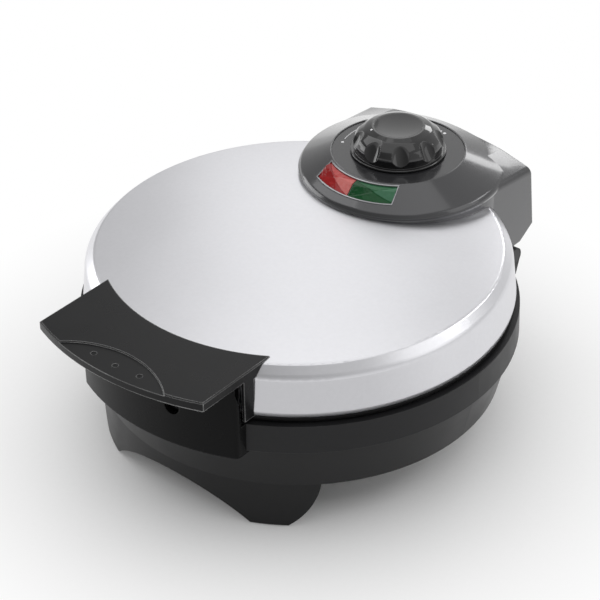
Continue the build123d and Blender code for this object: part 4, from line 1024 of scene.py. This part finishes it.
@dataclass
class SteelLid(SubAssembly):
    """The steel pan of the lid over its plastic ring."""

    def build(self) -> None:
        """Dress the pan and the ring."""
        self.dress(LID_STEEL, "lid_cover", sharp_degrees=50.0)
        # The ring takes the darker copy of the black plastic, as painted shade in the gap under
        # the steel.
        self.dress(SHADE_DARKENED_BLACK, "lid_ring")


@dataclass
class WafflePlates(SubAssembly):
    """Both grid plates with their heaters, clamps and reflectors."""

    def build(self) -> None:
        """Dress the plates and what is fixed to their backs."""
        self.dress(NONSTICK, "lower_grid_plate", "upper_grid_plate")
        self.dress(SCREW_STEEL, "upper_plate_screws", "lower_clamp_screws", "upper_clamp_screws")
        for side in ("lower", "upper"):
            self.dress(HEATER_STEEL, f"{side}_heating_element")
            self.dress(CERAMIC, f"{side}_element_insulators")
            self.dress(PLATED_STEEL, f"{side}_element_clamps")
            self.dress(REFLECTOR, f"{side}_heat_reflector")


@dataclass
class BaseWiring(SubAssembly):
    """The fuse, the terminal block and the leads inside the base."""

    def build(self) -> None:
        """Dress the electrical pieces of the base."""
        self.dress(SLEEVE, "thermal_fuse")
        self.dress(PLATED_STEEL, "fuse_clip")
        self.dress(CERAMIC, "terminal_block")
        self.dress(BRASS, "terminal_screws")
        self.dress(RED_WIRE, "base_leads")


@dataclass
class HingeSet(SubAssembly):
    """The two arms of the lid and the pins that they turn on."""

    screws: CrossScrews = field(default_factory=CrossScrews)

    def build(self) -> None:
        """Dress the arms and pins, and model the arms' screws."""
        self.dress(BLACK_PLASTIC, "hinge_arm_right", "hinge_arm_left")
        self.dress(DARK_PIN, "hinge_pins")
        self.screws.replace(self, "hinge_arm_screws", Body.LID, ALONG)


@dataclass
class ControlHousing(SubAssembly):
    """The glossy housing over the lid's rear, with both indicator lenses."""

    def build(self) -> None:
        """Dress the housing, its cover and everything behind the lenses."""
        self.dress(HOUSING_GREY, "control_housing", sharp_degrees=35.0)
        self.dress(BLACK_PLASTIC, "rear_cover")
        self.dress(SCREW_STEEL, "housing_screws")
        self.dress(BEZEL, "lens_bezel")
        self.dress(RED_LENS, "red_lens")
        self.dress(GREEN_LENS, "green_lens")
        self.dress(HOLDER, "lamp_holder")
        self.dress(LAMP_GLASS, "indicator_lamps")
        self.dress(WHITE_WIRE, "lamp_leads")


@dataclass
class HeatDial(SubAssembly):
    """The dial plate with its printed scale, the knob and the thermostat."""

    scale_radius: float = 33.2 * MM
    print_height: float = 0.05 * MM
    line_width: float = 0.85 * MM
    line_low_share: float = 0.5
    line_top_share: float = 0.8
    line_start: float = -74.0
    line_end: float = -188.0
    line_steps: int = 72
    low_dot: float = -67.4
    high_dots: tuple[Pair, ...] = ((168.8, 0.8), (163.1, 1.1))  # azimuth and share of size
    dot_radius: float = 0.95 * MM
    dot_segments: int = 24
    # From the rim to the middle: share of the radius, and share of the print's height.
    dot_profile: tuple[Pair, ...] = ((1.0, -0.5), (0.9, 0.75), (0.6, 1.0), (0.25, 1.0))
    pointer_radius: float = 16.1 * MM
    pointer_azimuth: float = -36.0
    pointer_size: float = 0.75 * MM
    pointer_start: float = 40.0 * MM

    def centre(self) -> Vector:
        """The middle of the dial plate's top face."""
        low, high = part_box("dial_plate")
        return Vector(((low.x + high.x) / 2, (low.y + high.y) / 2, high.z))

    def at(self, azimuth: float, radius: float, height: float = 0.0) -> Vector:
        """A point on the dial.

        Args:
            azimuth: The angle from the front, towards the right.
            radius: Distance from the dial's middle.
            height: Height over the dial's face.

        Returns:
            The point.
        """
        return self.centre() + direction(azimuth) * radius + UP * height

    def scale_line(self) -> Piece:
        """Model the printed line that grows wider from its low end to its high end."""
        draft = MeshDraft()
        loops = []
        for index in range(self.line_steps + 1):
            share = index / self.line_steps
            azimuth = self.line_start + (self.line_end - self.line_start) * share
            growth = self.line_low_share + (1 - self.line_low_share) * share
            half = self.line_width * growth / 2
            top = half * self.line_top_share
            section = ((half, 0.0), (top, 1.0), (-top, 1.0), (-half, 0.0))
            loops.append(draft.loop(
                self.at(azimuth, self.scale_radius + offset, self.print_height * rise)
                for offset, rise in section
            ))
        draft.solid(loops)
        return draft.piece("dial_scale_line")

    def dot(self, draft: MeshDraft, middle: Vector, radius: float, normal: Vector = UP) -> None:
        """Add one flat printed dot with a rounded edge.

        Args:
            draft: The draft that takes the dot.
            middle: The dot's middle on the face.
            radius: The dot's radius.
            normal: The face's direction there.
        """
        side = normal.orthogonal().normalized()
        other = normal.cross(side)
        draft.solid([
            draft.ring(
                middle + normal * self.print_height * rise,
                side, other, radius * share, self.dot_segments,
            )
            for share, rise in self.dot_profile
        ])

    def scale_dots(self) -> Piece:
        """Model the dots at both ends of the scale."""
        draft = MeshDraft()
        for azimuth, share in ((self.low_dot, 1.0), *self.high_dots):
            self.dot(draft, self.at(azimuth, self.scale_radius), self.dot_radius * share)
        return draft.piece("dial_scale_dots")

    def pointer_dot(self) -> Piece:
        """Model the dot on the knob's shoulder that points at the scale."""
        bpy.context.view_layer.update()
        above = self.at(self.pointer_azimuth, self.pointer_radius, self.pointer_start)
        _, place, normal, _ = self.frame["nodes"]["knob"].ray_cast(above, -UP)
        draft = MeshDraft()
        self.dot(draft, place, self.pointer_size, normal)
        return draft.piece("knob_pointer_dot")

    def build(self) -> None:
        """Dress the dial, the knob and the thermostat, and print the scale."""
        self.dress(DIAL_GREY, "dial_plate")
        self.dress(KNOB_BLACK, "knob", sharp_degrees=40.0)
        self.dress(CAP_BLACK, "knob_cap", sharp_degrees=40.0)
        self.dress(PLATED_STEEL, "knob_clip", "thermostat_bracket", "thermostat_nut")
        self.dress(SCREW_STEEL, "thermostat_shaft", "bracket_screws")
        self.dress(PHENOLIC, "thermostat")
        self.dress(RED_WIRE, "thermostat_leads")
        for piece in (self.scale_line(), self.scale_dots()):
            self.add(piece, Body.LID, MARK_PAINT, Slot.MARK)
        self.add(self.pointer_dot(), Body.KNOB, MARK_PAINT, Slot.MARK)


@dataclass(frozen=True)
class Softbox:
    """One area lamp, aimed at the object."""

    name: str
    azimuth: float
    elevation: float
    distance: float
    width: float
    height: float
    radiance: float

    def place(self, target: Vector) -> None:
        """Hang the lamp and aim it at a point."""
        away = direction(self.azimuth, self.elevation)
        light = bpy.data.lights.new(self.name, "AREA")
        light.shape = "RECTANGLE"
        light.size = self.width
        light.size_y = self.height
        light.energy = self.radiance * math.pi * self.width * self.height
        lamp = bpy.data.objects.new(self.name, light)
        lamp.location = target + away * self.distance
        lamp.rotation_euler = (-away).to_track_quat("-Z", "Y").to_euler()
        bpy.context.scene.collection.objects.link(lamp)
        LOG.info("hung %s", self.name)


@dataclass
class Studio:
    """The pale floor, the soft lamps, the room round them and the camera."""

    target: Vector = field(default_factory=lambda: Vector((0.0, 6.25 * MM, 70.0 * MM)))
    azimuth: float = 40.06
    elevation: float = 34.27
    roll: float = -0.93
    distance: float = 1.1555
    lens: float = 123.33
    sensor: float = 36.0
    floor_radii: tuple[float, ...] = (4.0, 2.0, 0.5)
    floor_segments: int = 64
    paper_size: float = 3.0 * MM
    paper_depth: float = 0.02 * MM
    paper_dark: Colour = (0.86, 0.86, 0.86)
    paper_light: Colour = (0.9, 0.9, 0.9)
    paper_roughness: float = 0.7
    paper_specular: float = 0.2
    floor_fade: Range = (0.09, 0.25)
    floor_glow: float = 0.74
    glow_turn: Range = (0.5, 1.1)  # radians
    glow_reach: Range = (0.2, 0.6)
    room_azimuth: float = 150.0
    room_lean: Range = (-0.9, 0.5)
    room_glow: Range = (0.30, 0.72)
    horizon_rise: Range = (0.08, 0.2)
    horizon_glow: float = 0.8
    # Azimuth and elevation, then distance, width and height, then radiance.
    lamps: tuple[Softbox, ...] = (
        Softbox("key_softbox", -75.0, 52.0, 1.5, 1.1, 0.8, 1.2),
        Softbox("rear_softbox", 219.0, 42.0, 1.5, 0.5, 1.5, 0.55),
        Softbox("high_softbox", 222.0, 66.0, 1.5, 0.9, 0.6, 0.25),
        Softbox("roof_lamp", 191.0, 26.0, 1.5, 0.40, 0.26, 3.8),
        Softbox("rear_strip", 140.0, 34.0, 1.5, 0.6, 0.2, 4.0),
        Softbox("side_strip", 110.0, 30.0, 1.4, 0.8, 0.9, 0.65),
        Softbox("top_softbox", 20.0, 82.0, 1.6, 1.5, 1.5, 0.6),
        Softbox("left_strip", 284.0, 12.0, 1.5, 1.0, 0.55, 2.0),
    )

    def hang_camera(self) -> None:
        """Place the camera at the photograph's angle."""
        back = direction(self.azimuth, self.elevation)
        lean = math.radians(self.roll)
        right = (-back).cross(UP).normalized()
        up = right.cross(-back)
        tilted_right = right * math.cos(lean) + up * math.sin(lean)
        tilted_up = up * math.cos(lean) - right * math.sin(lean)
        camera = bpy.data.cameras.new("photo_camera")
        camera.sensor_width = self.sensor
        camera.lens = self.lens
        holder = bpy.data.objects.new("photo_camera", camera)
        turned = Matrix((tilted_right, tilted_up, back)).transposed().to_4x4()
        holder.matrix_world = Matrix.Translation(self.target + back * self.distance) @ turned
        bpy.context.scene.collection.objects.link(holder)
        bpy.context.scene.camera = holder

    def floor_material(self) -> bpy.types.Material:
        """A pale floor that keeps the shadow near the object and fades to white."""
        sheet = SurfaceSheet("studio_floor")
        inputs = sheet.surface.inputs
        paper = sheet.noise(self.paper_size, detail=4.0)
        sheet.feed(inputs["Base Color"], sheet.blend(paper, self.paper_dark, self.paper_light))
        inputs["Roughness"].default_value = self.paper_roughness
        inputs["Specular IOR Level"].default_value = self.paper_specular
        sheet.feed(inputs["Normal"], sheet.relief(paper, self.paper_depth))
        reach, turn, _ = sheet.split(sheet.around((0.0, self.target.y, 0.0), 1.0))
        rays = sheet.add("LightPath").outputs
        seen = sheet.math("MAXIMUM", rays["Is Camera Ray"], rays["Is Glossy Ray"])
        fade = sheet.math("MULTIPLY", sheet.span(reach, self.floor_fade), seen)
        ahead = math.radians(QUARTER_TURN - self.azimuth)
        turned = sheet.math("ABSOLUTE", sheet.math("ADD", turn, ahead))
        beside = sheet.span(turned, self.glow_turn, (self.floor_glow, 1.0))
        glow = sheet.math("MAXIMUM", beside, sheet.span(reach, self.glow_reach))
        white = sheet.add("Emission")
        strength = sheet.math("MAXIMUM", rays["Is Camera Ray"], glow)
        sheet.feed(white.inputs["Strength"], strength)
        mixed = sheet.add("MixShader", fade, sheet.surface.outputs[0], white.outputs[0])
        sheet.feed(sheet.tree.nodes["Material Output"].inputs["Surface"], mixed.outputs[0])
        return sheet.material

    def lay_floor(self) -> None:
        """Lay the round floor that the object stands on."""
        draft = MeshDraft()
        loops = [
            draft.ring(Vector(), ACROSS, ALONG, radius, self.floor_segments)
            for radius in self.floor_radii
        ]
        draft.skin(loops)
        draft.cover(loops[-1])
        floor = draft.piece("studio_floor")
        floor.data.materials.append(self.floor_material())
        floor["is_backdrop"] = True

    def fill_room(self) -> None:
        """Light the room, brighter behind the object and in a band over the floor."""
        world = bpy.data.worlds.new("studio_room")
        bpy.context.scene.world = world
        sheet = NodeSheet(world, "Generated")
        towards = sheet.dot(sheet.place, direction(self.room_azimuth))
        lean = sheet.span(towards, self.room_lean, self.room_glow)
        height = sheet.split(sheet.place)[2]
        band = sheet.span(height, self.horizon_rise, (self.horizon_glow, 0.0))
        seen = sheet.add("LightPath").outputs["Is Camera Ray"]
        ground = sheet.tree.nodes["Background"]
        ground.inputs["Color"].default_value = (1.0, 1.0, 1.0, 1.0)
        strength = sheet.math("MAXIMUM", sheet.math("MAXIMUM", lean, band), seen)
        sheet.feed(ground.inputs["Strength"], strength)

    def build(self) -> None:
        """Set up the whole studio."""
        self.hang_camera()
        self.lay_floor()
        self.fill_room()
        for lamp in self.lamps:
            lamp.place(self.target)
        bpy.context.scene.view_settings.view_transform = "Standard"


SUB_ASSEMBLIES: tuple[type[SubAssembly], ...] = (
    BaseUnit,
    FrontHandles,
    SteelLid,
    WafflePlates,
    BaseWiring,
    HingeSet,
    ControlHousing,
    HeatDial,
)


def corner_lists(bounds: Iterable[Iterable[float]]) -> list[list[float]]:
    """A box as plain lists of numbers."""
    return [[float(part) for part in corner] for corner in bounds]


def write_size(packed: list[list[float]], dressed: list[list[float]]) -> None:
    """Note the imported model's box and the dressed model's box.

    Args:
        packed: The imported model's two corners.
        dressed: The dressed model's two corners.
    """
    LOG.info("packed box %s, dressed box %s", packed, dressed)


def main() -> None:
    """Build the studio and dress every sub-assembly."""
    logging.basicConfig(level=logging.INFO, format="%(message)s")
    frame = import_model()
    packed = corner_lists(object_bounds())
    Studio().build()
    paints = Paintbox()
    for kind in SUB_ASSEMBLIES:
        kind(frame, paints).build()
        LOG.info("finished %s", kind.__name__)
    write_size(packed, corner_lists(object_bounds()))


if __name__ == "__main__":
    main()
